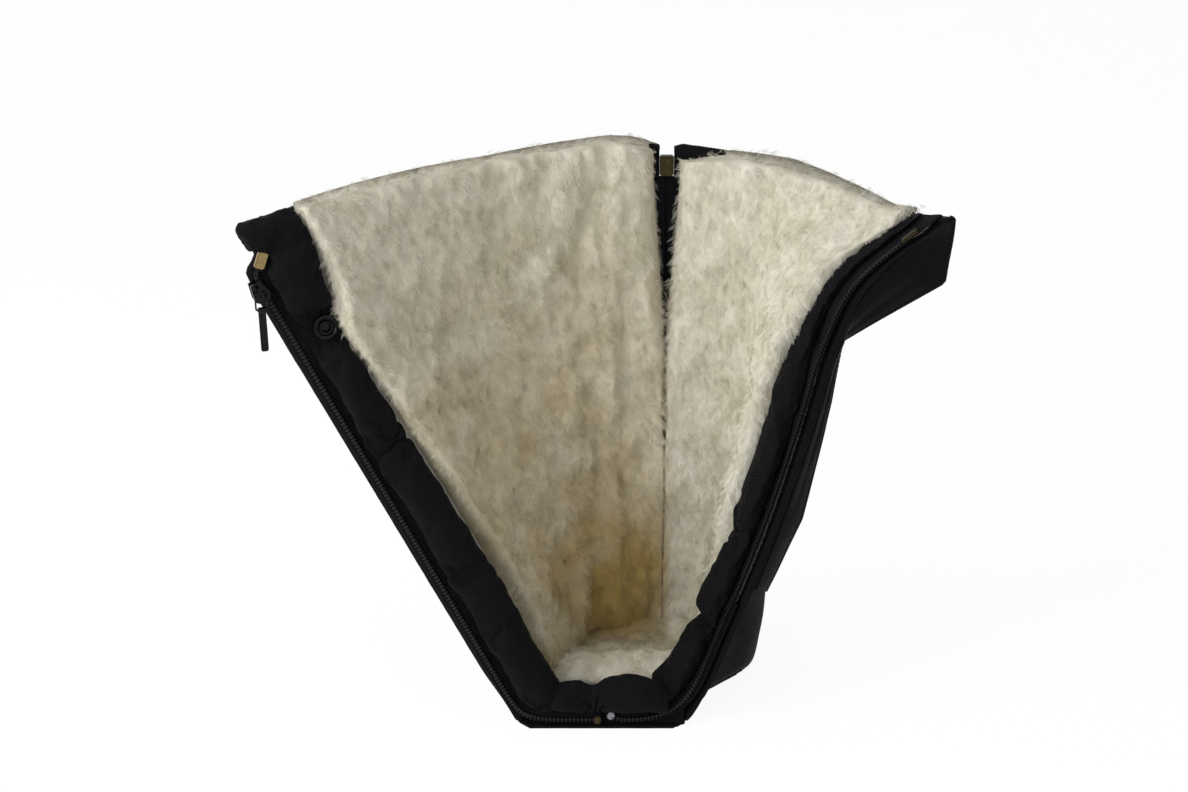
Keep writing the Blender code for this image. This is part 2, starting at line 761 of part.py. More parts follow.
def coil_rails(edge, start, end):
    """Plain ridged bar that stands for the chain of interlocking coils."""
    half = COIL_WIDTH / 2
    count = int(round((end - start) / EDGE_STEP)) + 1
    rails = []
    for s in np.linspace(start, end, count):
        outer = [edge.at(s, -half, COIL_BASE + 0.5 * COIL_T), edge.at(s, 0.0, CHAIN_TOP),
                 edge.at(s, half, COIL_BASE + 0.5 * COIL_T)]
        inner = [edge.at(s, across, COIL_BASE) for across in (-half, 0.0, half)]
        rails.append((outer, inner))
    return rails


def pad_rails(edge, start, end, sizes, folds, cap=0.0):
    """Rails of a padded facing: a crowned strip, drawn in at its sides, ends and folds.

    sizes gives the width and the crown at a length. folds holds for each sewn or pressed dip
    its length along the edge, flat half length, half length and the share of the crown left.
    cap is the length from the start over which the strip also covers the chain's end.
    """
    count = max(4, int(round((end - start) / PAD_STEP)) + 1)
    rails = []
    for s in np.linspace(start, end, count):
        puff = 1.0
        for where, flat, half, left in folds:
            puff = min(puff, lerp(left, 1.0, smooth_step(flat, half, abs(s - where))))
        ends = min(1.0, max(0.0, min(s - start, end - s)) / PAD_END)
        puff *= lerp(PAD_END_CROWN, 1.0, math.sqrt(ends))
        width, crown = sizes(s)
        to_end = min(1.0, (end - s) / PAD_END)
        reach = width * lerp(PAD_END_WIDTH, 1.0, math.sqrt(max(0.0, to_end)))
        begin = -FACING_CAP_OVERHANG if s - start < cap else FACING_START
        outer, inner = [], []
        for k in range(PAD_ROWS + 1):
            share = k / PAD_ROWS
            across = lerp(begin, FACING_START + reach, share)
            rise = math.sin(math.pi * share) ** PAD_ROUNDNESS if 0 < k < PAD_ROWS else 0.0
            outer.append(edge.at(s, across, COIL_BASE + FACING_LIP + crown * puff * rise))
            inner.append(edge.at(s, across, COIL_BASE))
        rails.append((outer, inner))
    return rails


def build_front_edges(finishes, parents):
    """Tapes, chains and facings. The facing's dips follow its gathers, from the rim down."""
    edges = {side: Edge(side) for side in WALLS}
    left, right = edges["left"], edges["right"]
    caps = {"left": FACING_CAP, "right": 0.0}
    folds = {
        "left": [(left.length_at_z(SNAP_Z), *SNAP_DIP),
                 (left.length_at_z(LEFT_FACING_DIP[0]), *LEFT_FACING_DIP[1:])],
        "right": [(right.length_at_z(dip[0]), *dip[1:]) for dip in RIGHT_FACING_DIPS],
    }
    facing_end = {"left": left.turn_end - LEFT_FACING_SETBACK,
                  "right": right.turn_end - RIGHT_FACING_SETBACK}
    chain_start = {
        "left": left.length_at_z(FRONT_BOX_Z) + BOX_LENGTH / 2 + BOX_CHAIN_GAP,
        "right": RIGHT_PIN_START + PIN_LENGTH + GAP,
    }
    for side, edge in edges.items():
        def sizes(s, edge=edge):
            level = edge.level(s)
            return (edge.wall.facing_width(level),
                    edge.wall.facing(level, edge.wall.facing_crowns))

        chain_end = edge.total - STOP_LENGTH - 2 * GAP
        pieces = (
            ("zip_tape", "tape",
             strip_rails(edge, 0.0, edge.total)),
            ("zip_coil", "coil", coil_rails(edge, chain_start[side], chain_end)),
            ("facing", "cloth", pad_rails(edge, RIM_HEM, facing_end[side], sizes, folds[side],
                                          caps[side])),
        )
        for piece, finish, rails in pieces:
            name = f"{side}_{piece}"
            add_object(name, loft(name, rails), finishes[finish], SEAM_FOOT, parents[side])
    toe = ToeEdge()
    rails = pad_rails(toe, 0.0, toe.total, lambda s: (TOE_FACING_WIDTH, TOE_FACING_CROWN),
                      [(TOE_FACING_DIP[0] * toe.total, *TOE_FACING_DIP[1:])])
    add_object("toe_facing", loft("toe_facing", rails), finishes["cloth"])
    return edges


# Zip hardware, each piece in the frame of its chain: across, along and out of the tape

TOP_PLATE = CHAIN_TOP + SLIDER_CLEARANCE
BRIDGE_FLOOR = TOP_PLATE + SLIDER_PLATE_T
LINK_OUT = BRIDGE_FLOOR + BRIDGE_RISE / 2


class Frame:
    """A place on a chain with its unit vectors across, along and out."""

    def __init__(self, place, across, along, out):
        self.place = np.asarray(place, float)
        self.axes = np.array([across, along, out], float)

    def at(self, across, along, out):
        return self.place + np.array([across, along, out]) @ self.axes

    def box(self, name, across, along, out, bevel=0.0):
        """Box between two values on each axis."""
        low, high = np.array([across, along, out], float).T
        return box_mesh(name, self.at(*(low + high) / 2), self.axes, high - low, bevel)


def slider_plate(frame, name, half_width, low, high):
    """One plate of a slider: wide at its shoulders, drawn in at its mouth."""
    half = SLIDER_LENGTH / 2
    outline = ((-0.62, half), (0.62, half), (1.0, -0.30 * half), (1.0, -0.72 * half),
               (0.66, -half), (-0.66, -half), (-1.0, -0.72 * half), (-1.0, -0.30 * half))
    shape = bmesh.new()
    corners = [shape.verts.new(frame.at(x * half_width, y, low)) for x, y in outline]
    face = shape.faces.new(corners)
    grown = bmesh.ops.extrude_face_region(shape, geom=[face])["geom"]
    lift = frame.axes[2] * (high - low)
    for vertex in grown:
        if isinstance(vertex, bmesh.types.BMVert):
            vertex.co = [vertex.co[k] + lift[k] for k in range(3)]
    return closed_mesh(bpy.data.meshes.new(name), shape)


def build_slider(prefix, frame, finishes, cutters):
    """Slider, link and tab, the tab hanging down the slider's face."""
    half = SLIDER_WIDTH / 2
    bottom = -SLIDER_CLEARANCE - SLIDER_PLATE_T
    name = f"{prefix}_slider"
    body = add_object(name, slider_plate(frame, name, half, bottom, -SLIDER_CLEARANCE),
                      finishes["gunmetal"], frame.place)
    bridge_end = BRIDGE_LENGTH / 2
    flanges = [-SLIDER_LENGTH / 2 + FLANGE_SPAN[0], -SLIDER_LENGTH / 2 + FLANGE_SPAN[1]]
    joined = (
        ("top", slider_plate(frame, f"{name}_top", half, TOP_PLATE, BRIDGE_FLOOR)),
        ("diamond", frame.box(f"{name}_diamond", (-DIAMOND_WIDTH / 2, DIAMOND_WIDTH / 2),
                              [DIAMOND_SPAN[k] - SLIDER_LENGTH / 2 for k in (0, 1)],
                              (bottom + JOIN_OVERLAP, BRIDGE_FLOOR - JOIN_OVERLAP))),
        ("flange_near", frame.box(f"{name}_flange_near", (-half, -half + FLANGE_T),
                                  flanges, (FLANGE_FOOT, TOP_PLATE + JOIN_OVERLAP))),
        ("flange_far", frame.box(f"{name}_flange_far", (half - FLANGE_T, half),
                                 flanges, (FLANGE_FOOT, TOP_PLATE + JOIN_OVERLAP))),
        ("upper_post", frame.box(f"{name}_upper_post", (-BRIDGE_WIDTH / 2, BRIDGE_WIDTH / 2),
                                 (-bridge_end, -bridge_end + BRIDGE_POST),
                                 (BRIDGE_FLOOR - JOIN_OVERLAP,
                                  BRIDGE_FLOOR + BRIDGE_RISE + JOIN_OVERLAP))),
        ("lower_post", frame.box(f"{name}_lower_post", (-BRIDGE_WIDTH / 2, BRIDGE_WIDTH / 2),
                                 (bridge_end - BRIDGE_POST, bridge_end),
                                 (BRIDGE_FLOOR - JOIN_OVERLAP,
                                  BRIDGE_FLOOR + BRIDGE_RISE + JOIN_OVERLAP))),
        ("bridge", frame.box(f"{name}_bridge",
                             (-BRIDGE_WIDTH / 2 - BRIDGE_LIP, BRIDGE_WIDTH / 2 + BRIDGE_LIP),
                             (-bridge_end - BRIDGE_LIP, bridge_end + BRIDGE_LIP),
                             (BRIDGE_FLOOR + BRIDGE_RISE,
                              BRIDGE_FLOOR + BRIDGE_RISE + BRIDGE_T))),
    )
    for part, mesh in joined:
        boolean(body, mesh, "UNION", cutters)

    out = frame.axes[2]
    down = np.array([0.0, 0.0, -1.0])
    down = unit(down - out * float(down @ out))
    level = np.cross(down, out)
    link_place = frame.at(0.0, 0.0, LINK_OUT)
    link = add_object(f"{prefix}_pull_link",
                      ring_mesh(f"{prefix}_pull_link", link_place, level, down),
                      finishes["gunmetal"], link_place, body)
    tab_place = link_place + down * LINK_DROP
    tab_frame = Frame(tab_place, level, down, out)
    name = f"{prefix}_pull_tab"
    tab = add_object(name, tab_frame.box(name, (-TAB_WIDTH / 2, TAB_WIDTH / 2),
                                         (TAB_TOP, TAB_TOP + TAB_LENGTH),
                                         (-TAB_T / 2, TAB_T / 2), 0.0006),
                     finishes["gunmetal"], tab_place, link)
    boolean(tab, cylinder_mesh(f"{name}_knuckle", tab_place, level, KNUCKLE_D / 2, TAB_WIDTH),
            "UNION", cutters)
    boolean(tab, cylinder_mesh(f"{name}_eye", tab_place, level, EYE_D / 2, 2 * TAB_WIDTH),
            "DIFFERENCE", cutters)
    return link_place, tab_place, level


def ring_mesh(name, top, level, down):
    """Closed rectangular ring of round wire whose upper bar lies at top."""
    half = LINK_WIDTH / 2 - LINK_WIRE / 2
    line = bpy.data.curves.new(name, "CURVE")
    line.dimensions = "3D"
    line.bevel_depth = LINK_WIRE / 2
    line.bevel_resolution = 2
    path = line.splines.new("POLY")
    path.use_cyclic_u = True
    places = []
    for x, y, turn in ((half, 0.0, -90), (half, LINK_DROP, 0), (-half, LINK_DROP, 90),
                       (-half, 0.0, 180)):
        inner = (x - math.copysign(LINK_CORNER, x),
                 y + (LINK_CORNER if y == 0.0 else -LINK_CORNER))
        for k in range(4):
            angle = math.radians(turn + 30 * k)
            u = inner[0] + LINK_CORNER * math.cos(angle)
            v = inner[1] + LINK_CORNER * math.sin(angle)
            places.append(np.asarray(top) + u * level + v * down)
    path.points.add(len(places) - 1)
    for point, place in zip(path.points, places):
        point.co = (*map(float, place), 1.0)
    holder = bpy.data.objects.new(name, line)
    model.objects.link(holder)
    bpy.context.view_layer.update()
    mesh = bpy.data.meshes.new_from_object(
        holder.evaluated_get(bpy.context.evaluated_depsgraph_get()))
    bpy.data.objects.remove(holder, do_unlink=True)
    shape = bmesh.new()
    shape.from_mesh(mesh)
    bmesh.ops.remove_doubles(shape, verts=shape.verts, dist=1e-6)
    mesh.materials.clear()
    return closed_mesh(mesh, shape)


def edge_frame(edge, s, across=0.0):
    place, inward, out, _, _ = edge.frame(s)
    run = edge.run(s)
    return Frame(place + across * inward, inward, run, out)


def build_front_hardware(finishes, parents, edges, cutters):
    left, right = edges["left"], edges["right"]
    box_s = left.length_at_z(FRONT_BOX_Z)
    frame = edge_frame(left, box_s, BOX_OFFSET)
    add_object("retainer_box",
               frame.box("retainer_box", (-BOX_WIDTH / 2, BOX_WIDTH / 2),
                         (-BOX_LENGTH / 2, BOX_LENGTH / 2),
                         (COIL_BASE, COIL_BASE + BOX_T), 0.0006),
               finishes["brass"], frame.place)
    frame = edge_frame(right, RIGHT_PIN_START + PIN_LENGTH / 2)
    add_object("insertion_pin",
               frame.box("insertion_pin", (-PIN_WIDTH / 2, PIN_WIDTH / 2),
                         (-PIN_LENGTH / 2, PIN_LENGTH / 2),
                         (COIL_BASE + PIN_LIFT, COIL_BASE + PIN_LIFT + PIN_T), 0.0004),
               finishes["brass"], SEAM_FOOT, parents["right"])
    for side, edge, finish in (("left", left, "brass"), ("right", right, "steel")):
        frame = edge_frame(edge, edge.total - GAP - STOP_LENGTH / 2)
        name = f"{side}_end_stop"
        add_object(name, frame.box(name, (-STOP_WIDTH / 2, STOP_WIDTH / 2),
                                   (-STOP_LENGTH / 2, STOP_LENGTH / 2),
                                   (COIL_BASE, COIL_BASE + STOP_T), 0.0007),
                   finishes[finish], frame.place)
    slider_s = box_s + BOX_LENGTH / 2 + BOX_SLIDER_GAP + SLIDER_LENGTH / 2
    frame = edge_frame(left, slider_s, FRONT_SLIDER_OFFSET)
    frame.axes[1] *= -1.0
    return build_slider("front", frame, finishes, cutters)


# Rear zip, in the channel between the two shells

REAR_TAPE_Y = SEAM_Y - SHELL_T - REAR_TAPE_DROP - TAPE_T


def build_rear_zip(finishes, parents, cutters):
    base = Frame((SEAM_X, REAR_TAPE_Y, 0.0), (-1.0, 0.0, 0.0), (0.0, 0.0, -1.0),
                 (0.0, 1.0, 0.0))
    box_low = REAR_BOX_Z - REAR_BOX_LENGTH / 2
    tape_top = box_low - GAP
    for side, sign in (("left", 1.0), ("right", -1.0)):
        name = f"rear_{side}_tape"
        span = sorted((sign * REAR_TAPE_SLOT, sign * (REAR_TAPE_SLOT + REAR_TAPE_WIDTH)))
        add_object(name, base.box(name, span, (-tape_top, -REAR_TAPE_FOOT_Z), (0.0, TAPE_T)),
                   finishes["tape"], SEAM_FOOT, parents[side])
    add_object("rear_retainer_box",
               base.box("rear_retainer_box", (-REAR_BOX_WIDTH / 2, REAR_BOX_WIDTH / 2),
                        (-box_low - REAR_BOX_LENGTH, -box_low),
                        (-REAR_BOX_BACK, CHAIN_TOP), 0.0007),
               finishes["brass"], (SEAM_X, REAR_TAPE_Y, REAR_BOX_Z))
    add_object("rear_end_stop",
               base.box("rear_end_stop", (-STOP_WIDTH / 2, STOP_WIDTH / 2),
                        (-REAR_STOP_Z - STOP_LENGTH / 2, -REAR_STOP_Z + STOP_LENGTH / 2),
                        (COIL_BASE, COIL_BASE + STOP_T), 0.0006),
               finishes["brass"], (SEAM_X, REAR_TAPE_Y, REAR_STOP_Z))
    chain_low = REAR_SLIDER_Z + SLIDER_LENGTH / 2
    half = REAR_CHAIN_WIDTH / 2
    add_object("rear_zip_coil",
               base.box("rear_zip_coil", (-half, half), (-tape_top, -chain_low + REAR_CHAIN_LAP),
                        (COIL_BASE, CHAIN_TOP), 0.0006),
               finishes["coil"], SEAM_FOOT)
    frame = Frame((SEAM_X, REAR_TAPE_Y, REAR_SLIDER_Z), (1.0, 0.0, 0.0), (0.0, 0.0, 1.0),
                  (0.0, 1.0, 0.0))
    return build_slider("rear", frame, finishes, cutters)


# Storm flap and snap

def flap_rails():
    """Rails of the flap: mid-surface from its seam to its free edge, then half each way."""
    wall = WALLS["right"]
    knots = np.linspace(0.0, 1.0, len(FLAP_SEAM_Z))
    grid = []
    for share in np.linspace(0.0, 1.0, FLAP_STEPS + 1):
        seam_z = float(np.interp(share, knots, FLAP_SEAM_Z))
        seam = wall.at(FLAP_INSET, seam_z / wall.rim, -(FLAP_T / 2 + GAP))
        free = np.array([np.interp(share, knots, values)
                         for values in (FLAP_FREE_X, FLAP_FREE_Y, FLAP_FREE_Z)])
        span = free - seam
        bow = FLAP_BOW * np.linalg.norm(span) * FLAP_BOW_WAY
        grid.append([seam + span * t + bow * math.sin(math.pi * t)
                     for t in np.linspace(0.0, 1.0, FLAP_COLUMNS + 1)])
    grid = np.array(grid)
    along = np.gradient(grid, axis=0)
    across = np.gradient(grid, axis=1)
    normal = np.cross(along, across)
    normal /= np.linalg.norm(normal, axis=2)[:, :, None]
    offset = normal * FLAP_T / 2
    return [(list(row + move), list(row - move)) for row, move in zip(grid, offset)]


def build_snap(finishes, parents, edges, cutters, facing):
    """Socket through the left facing, and the stud on the outer side of the right wall."""
    edge = edges["left"]
    s = edge.length_at_z(SNAP_Z)
    out = edge.frame(s)[2]
    foot = edge.at(s, SNAP_ACROSS, 0.0)
    crown = edge.wall.facing(edge.level(s), LEFT_FACING_CROWN)
    facing_top = COIL_BASE + FACING_LIP + crown * SNAP_DIP[-1]
    socket_low = facing_top + GAP

    def disc(name, diameter, low, high, segments=32):
        return cylinder_mesh(name, foot + out * (low + high) / 2, out, diameter / 2,
                             high - low, segments)

    socket = add_object("snap_socket",
                        disc("snap_socket", SNAP_D, socket_low, socket_low + SNAP_T),
                        finishes["gunmetal"], foot)
    boolean(socket, disc("snap_dimple", SNAP_DIMPLE_D, socket_low + SNAP_T - SNAP_DIMPLE_DEPTH,
                         socket_low + 2 * SNAP_T), "DIFFERENCE", cutters)
    barrel = add_object("snap_barrel", disc("snap_barrel", SNAP_BARREL_D, 0.0, facing_top),
                        finishes["gunmetal"], foot)
    boolean(barrel, disc("snap_flange", SNAP_FLANGE_D, 0.0, SNAP_FLANGE_T), "UNION", cutters)
    hole = disc("snap_hole", SNAP_HOLE_D, -SNAP_HOLE_DEPTH / 2, SNAP_HOLE_DEPTH)
    boolean(facing, hole, "DIFFERENCE", cutters)

    wall = WALLS["right"]
    level = STUD_LEVEL
    away = -wall.normal(STUD_INSET, level)
    outer = wall.at(STUD_INSET, level, 0.0) + away * STUD_GAP
    base = cylinder_mesh("snap_stud", outer + away * SNAP_T / 4, away, SNAP_D / 2, SNAP_T / 2, 32)
    stud = add_object("snap_stud", base, finishes["gunmetal"], SEAM_FOOT, parents["right"])
    head = cylinder_mesh("snap_stud_head", outer + away * 0.7 * SNAP_T, away,
                         STUD_HEAD_D / 2, SNAP_T, 24)
    boolean(stud, head, "UNION", cutters)


def build():
    cutters = start_scene()
    finishes = {
        "cloth": material("black_twill", (0.016, 0.016, 0.018), 0.72),
        "wadding": material("polyester_wadding", (0.80, 0.80, 0.78), 0.95),
        "wool": material("cream_pile", (0.78, 0.70, 0.57), 0.95),
        "tape": material("zip_tape_cloth", (0.018, 0.018, 0.020), 0.80),
        "coil": material("nylon_coil", (0.022, 0.022, 0.024), 0.38),
        "brass": material("aged_brass", (0.42, 0.31, 0.16), 0.35, 1.0),
        "steel": material("plated_steel", (0.62, 0.62, 0.64), 0.28, 1.0),
        "gunmetal": material("black_nickel", (0.075, 0.075, 0.082), 0.26, 1.0),
    }
    parents = {"left": None, "right": add_axis("right_half_fold", SEAM_FOOT)}
    build_toe(finishes)
    build_walls(finishes, parents)
    edges = build_front_edges(finishes, parents)
    build_front_hardware(finishes, parents, edges, cutters)
    build_rear_zip(finishes, parents, cutters)
    add_object("storm_flap", loft("storm_flap", flap_rails()), finishes["cloth"], SEAM_FOOT,
               parents["right"])
    build_snap(finishes, parents, edges, cutters, bpy.data.objects["left_facing"])


build()
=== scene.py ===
# %% [markdown]
# A hand muff for a pushchair handle, standing open on its narrow toe. Two padded walls meet
# at an upright rear zip. Each wall is black twill outside, wadding in the middle and thick
# cream lambswool pile inside. Puffed twill facings and the two halves of the front zip run
# along the open edges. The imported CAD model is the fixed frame: its metal parts stay and get
# finishes, and its cloth and padding are replaced by softer, more detailed pieces.

# %% Load the frame
import math

import bmesh
import bpy
import numpy as np
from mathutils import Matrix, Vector, noise


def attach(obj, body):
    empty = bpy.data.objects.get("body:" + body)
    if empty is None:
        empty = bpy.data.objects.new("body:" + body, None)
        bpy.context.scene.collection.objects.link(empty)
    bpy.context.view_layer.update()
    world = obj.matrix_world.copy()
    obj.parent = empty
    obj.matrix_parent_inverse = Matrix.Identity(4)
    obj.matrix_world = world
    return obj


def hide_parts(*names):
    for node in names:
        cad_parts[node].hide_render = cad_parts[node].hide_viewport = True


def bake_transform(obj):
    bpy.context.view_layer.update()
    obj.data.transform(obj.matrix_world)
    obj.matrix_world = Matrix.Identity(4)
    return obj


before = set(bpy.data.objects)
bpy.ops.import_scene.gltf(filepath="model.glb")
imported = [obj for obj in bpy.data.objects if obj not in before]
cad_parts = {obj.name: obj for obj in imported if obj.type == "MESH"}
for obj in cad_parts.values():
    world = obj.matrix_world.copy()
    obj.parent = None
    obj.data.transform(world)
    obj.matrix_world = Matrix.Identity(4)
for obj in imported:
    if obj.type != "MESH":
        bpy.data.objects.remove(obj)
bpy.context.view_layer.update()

# %% [markdown]
# Colours are written as sRGB hex values, as a colour card gives them, and turned to linear
# light once. One small function adds a node, sets its properties and fills or links its
# sockets, so that a material reads as a list of what feeds what. Most colours below are the
# cloth's or metal's own, before the lamps act on it; a few carry painted shade and light.

# %% Colours and nodes


def colour(code):
    """Linear RGBA of a hex colour."""
    parts = [int(code[k:k + 2], 16) / 255 for k in (1, 3, 5)]
    parts = [v / 12.92 if v <= 0.04045 else ((v + 0.055) / 1.055) ** 2.4 for v in parts]
    return (*parts, 1.0)


def add_node(tree, kind, inputs=None, **settings):
    """New node with its settings, and its inputs set to values or linked to outputs."""
    node = tree.nodes.new(kind)
    for name, value in settings.items():
        setattr(node, name, value)
    for key, value in (inputs or {}).items():
        if isinstance(value, bpy.types.NodeSocket):
            tree.links.new(value, node.inputs[key])
        else:
            node.inputs[key].default_value = value
    return node


def new_material(name, **sockets):
    """Material with a Principled shader whose constant sockets are given by name."""
    made = bpy.data.materials.new(name)
    made.use_nodes = True
    shader = made.node_tree.nodes["Principled BSDF"]
    for key, value in sockets.items():
        shader.inputs[key.replace("_", " ")].default_value = value
    return made, made.node_tree, shader


def ramp(tree, factor, *stops):
    """Colour ramp through (place, hex colour) stops."""
    node = add_node(tree, "ShaderNodeValToRGB", {"Fac": factor})
    points = node.color_ramp.elements
    while len(points) < len(stops):
        points.new(0.5)
    for point, (place, code) in zip(points, stops):
        point.position = place
        point.color = colour(code)
    return node.outputs["Color"]


def maths(tree, operation, *values):
    """Output of a math node on values or linked outputs."""
    return add_node(tree, "ShaderNodeMath", dict(enumerate(values)),
                    operation=operation).outputs[0]


def noise_at(tree, place, scale, detail, roughness=0.5, **inputs):
    """Noise of 0 to 1, read at a place."""
    return add_node(tree, "ShaderNodeTexNoise", {
        "Vector": place, "Scale": scale, "Detail": detail, "Roughness": roughness,
        **inputs}).outputs["Fac"]


def spread(tree, factor, low, high):
    """The middle of a noise, stretched to run from low to high."""
    return add_node(tree, "ShaderNodeMapRange", {
        "Value": factor, "From Min": 0.3, "From Max": 0.7, "To Min": low,
        "To Max": high}).outputs["Result"]


def dress(tree, shader, tone, height, lift, depth, roughness=None):
    """Links a shader's colour, its normal bumped by a height, and its roughness."""
    tree.links.new(tone, shader.inputs["Base Color"])
    bump = add_node(tree, "ShaderNodeBump", {"Strength": lift, "Distance": depth,
                                             "Height": height})
    tree.links.new(bump.outputs["Normal"], shader.inputs["Normal"])
    if roughness:
        tree.links.new(roughness, shader.inputs["Roughness"])


print("helpers ready")

# %% [markdown]
# The outer cloth is polyester twill, woven, dyed black and left soft. Twill shows as fine
# slanting ribs. The real ribs are about 0.6 mm apart, which is one pixel of the picture, so
# they are drawn 1.5 to 1.7 mm apart to show. Slow noise gives the greyish bloom that black
# cloth has where it is handled, and a trace of sheen softens its grazing edges.

# %% Black twill


def twill(name, dark, light, rib=0.0015, sheen=0.01, roughness=(0.60, 0.78), lift=0.35):
    """Cloth with slanting ribs a given way apart, and a bloom between two colours."""
    made, tree, shader = new_material(name, Sheen_Weight=sheen, Sheen_Roughness=0.45,
                                      IOR=1.5, Specular_IOR_Level=0.06)
    shader.inputs["Sheen Tint"].default_value = colour("#b9bac6")
    place = add_node(tree, "ShaderNodeTexCoord").outputs["Object"]
    # Diagonal bands repeat when x + y + z grows by 0.628 / scale
    ribs = add_node(tree, "ShaderNodeTexWave", {
        "Vector": place, "Scale": 0.628 / (rib * math.sqrt(2)), "Distortion": 1.2,
        "Detail": 2.0, "Detail Scale": 1.6}, bands_direction="DIAGONAL").outputs["Fac"]
    yarn = noise_at(tree, place, 1100.0, 2.0)
    bloom = noise_at(tree, place, 38.0, 4.0, 0.6)
    mixed = maths(tree, "ADD", bloom, maths(tree, "MULTIPLY", ribs, 0.55))
    dress(tree, shader, ramp(tree, mixed, (0.35, dark), (1.0, light)),
          maths(tree, "MULTIPLY_ADD", yarn, 0.5, ribs), lift, 0.0004,
          spread(tree, bloom, *roughness))
    return made


BLACK_TWILL = twill("black_twill", "#070708", "#111113")
FACING_TWILL = twill("facing_twill", "#070708", "#151518", rib=0.0017, sheen=0.02, lift=0.8)
print("cloth:", BLACK_TWILL.name, FACING_TWILL.name)

# %% [markdown]
# The lining is lambswool pile on a knitted ground, clipped to about 16 mm and left cream. To
# the eye it is soft, matt and mottled: warm grey-brown where locks part and the light dies,
# paler on the crests. The mottling comes from noise at the size of locks and of single
# fibres. Deep in the toe the pile is shaded and warmer, which a painted vertex value gives.

# %% Cream pile


def pile(name, deep, mid, crest, bump_depth):
    """Mottled wool through three tones, multiplied by warm brown where painted shade says so."""
    made, tree, shader = new_material(name, Roughness=0.95, Sheen_Weight=0.35,
                                      Sheen_Roughness=0.6, IOR=1.45)
    shader.inputs["Sheen Tint"].default_value = colour("#fff6e2")
    place = add_node(tree, "ShaderNodeTexCoord").outputs["Object"]
    combed = add_node(tree, "ShaderNodeMapping", {"Vector": place, "Scale": (1, 1, 0.35)})
    locks = noise_at(tree, place, 45.0, 5.0, 0.62)
    fibres = noise_at(tree, combed.outputs[0], 620.0, 4.0, 0.7, Distortion=0.8)
    mixed = maths(tree, "MULTIPLY_ADD", fibres, 0.45, locks)
    # The tones follow the bump's height: the wool's own mottling, with painted shade in the
    # partings and painted light on the crests
    tone = ramp(tree, mixed, (0.42, deep), (0.66, mid), (0.92, crest))
    # Painted shade: a vertex value that darkens the wool to a warm brown deep in the toe
    shade_value = add_node(tree, "ShaderNodeAttribute", attribute_name="warmth")
    shade = add_node(tree, "ShaderNodeMix", {0: shade_value.outputs["Fac"], 6: tone,
                                             7: colour("#c8ae6c")}, data_type="RGBA",
                     blend_type="MULTIPLY")
    dress(tree, shader, shade.outputs[2], mixed, 0.6, bump_depth)
    return made


CREAM_PILE = pile("cream_pile", "#c9c3ab", "#dcd7c3", "#ebe7d9", 0.0030)
# The fibres are paler than the body: painted light on the lying fibres against the shaded pile
# between them
FIBRE = pile("pile_fibres", "#d8d3bf", "#e6e2d1", "#f3f0e5", 0.0001)
print("pile:", CREAM_PILE.name, FIBRE.name)

# %% [markdown]
# Wadding is a lofted web of white polyester fibres. Zip tape is a close woven polyester
# ribbon. The zip's coil is a nylon monofilament, extruded and so smooth and a little glossy.
# The metal parts are die-cast or pressed: brass gone dull, plated steel, and zinc stoved
# with black enamel, which is dark, hard and glossy.

# %% Wadding, tape, coil and metals


def plain(name, dark, light, scale, bump, roughness, **sockets):
    """Finish whose colour, roughness and fine height follow one noise."""
    made, tree, shader = new_material(name, **sockets)
    place = add_node(tree, "ShaderNodeTexCoord").outputs["Object"]
    grain = noise_at(tree, place, scale, 4.0, 0.6)
    dress(tree, shader, ramp(tree, grain, (0.3, dark), (0.7, light)), grain, *bump,
          spread(tree, grain, *roughness))
    return made


WADDING = plain("polyester_wadding", "#d9d9d4", "#f2f2ee", 260.0, (0.7, 0.0015), (0.85, 0.98))
TAPE = twill("zip_tape_cloth", "#0b0b0d", "#1a1a1e", rib=0.0010, sheen=0.02,
             roughness=(0.66, 0.82), lift=0.5)
COIL = plain("nylon_coil", "#08080a", "#131316", 700.0, (0.15, 0.0001), (0.30, 0.42),
             IOR=1.53, Specular_IOR_Level=0.18)
THREAD = plain("polyester_thread", "#0e0e10", "#1c1c1f", 1500.0, (0.4, 0.0001), (0.5, 0.7),
               Sheen_Weight=0.02, Specular_IOR_Level=0.10)
BRASS = plain("aged_brass", "#7d6c47", "#a08c62", 900.0, (0.10, 0.0001), (0.26, 0.42),
              Metallic=1.0)
# A darker brass for the small parts at the zips' ends: partly the metal's own tarnish, partly
# painted shade
DARK_BRASS = plain("unpolished_brass", "#2c2619", "#4a402c", 900.0, (0.10, 0.0001),
                   (0.34, 0.50), Metallic=1.0)
STEEL = plain("plated_steel", "#5b5d60", "#8a8c90", 500.0, (0.1, 0.0001), (0.18, 0.34),
              Metallic=1.0)
BLACK_ENAMEL = plain("black_enamel", "#030304", "#08080a", 520.0, (0.04, 0.0001),
                     (0.06, 0.14), IOR=1.52, Specular_IOR_Level=0.17)
print("hard finishes ready")

# %% [markdown]
# Everything soft follows the two walls, so the walls are written once as a map: from an
# inset, measured back from the open front edge, and a level, a share of the rim's height, to
# a point on the outer face. Each layer then lies at its own depth under that face. The sizes
# repeat those of the CAD part, because the scene may not read its source.

# %% Sizes of the walls
SHELL_T, WADDING_T, WOOL_T, FLOOR_WOOL_T, GAP = 0.0018, 0.0049, 0.0160, 0.0105, 0.0003
SEAM_X, SEAM_Y, REAR_RIM_Z, WOOL_RISE = 0.040, 0.060, 0.343, 0.010
# A deeper layer ends this share of its depth farther from the rear seam
SEAM_SLANT = 0.168
WADDING_DEPTH = SHELL_T + GAP
WOOL_DEPTH = WADDING_DEPTH + WADDING_T + GAP
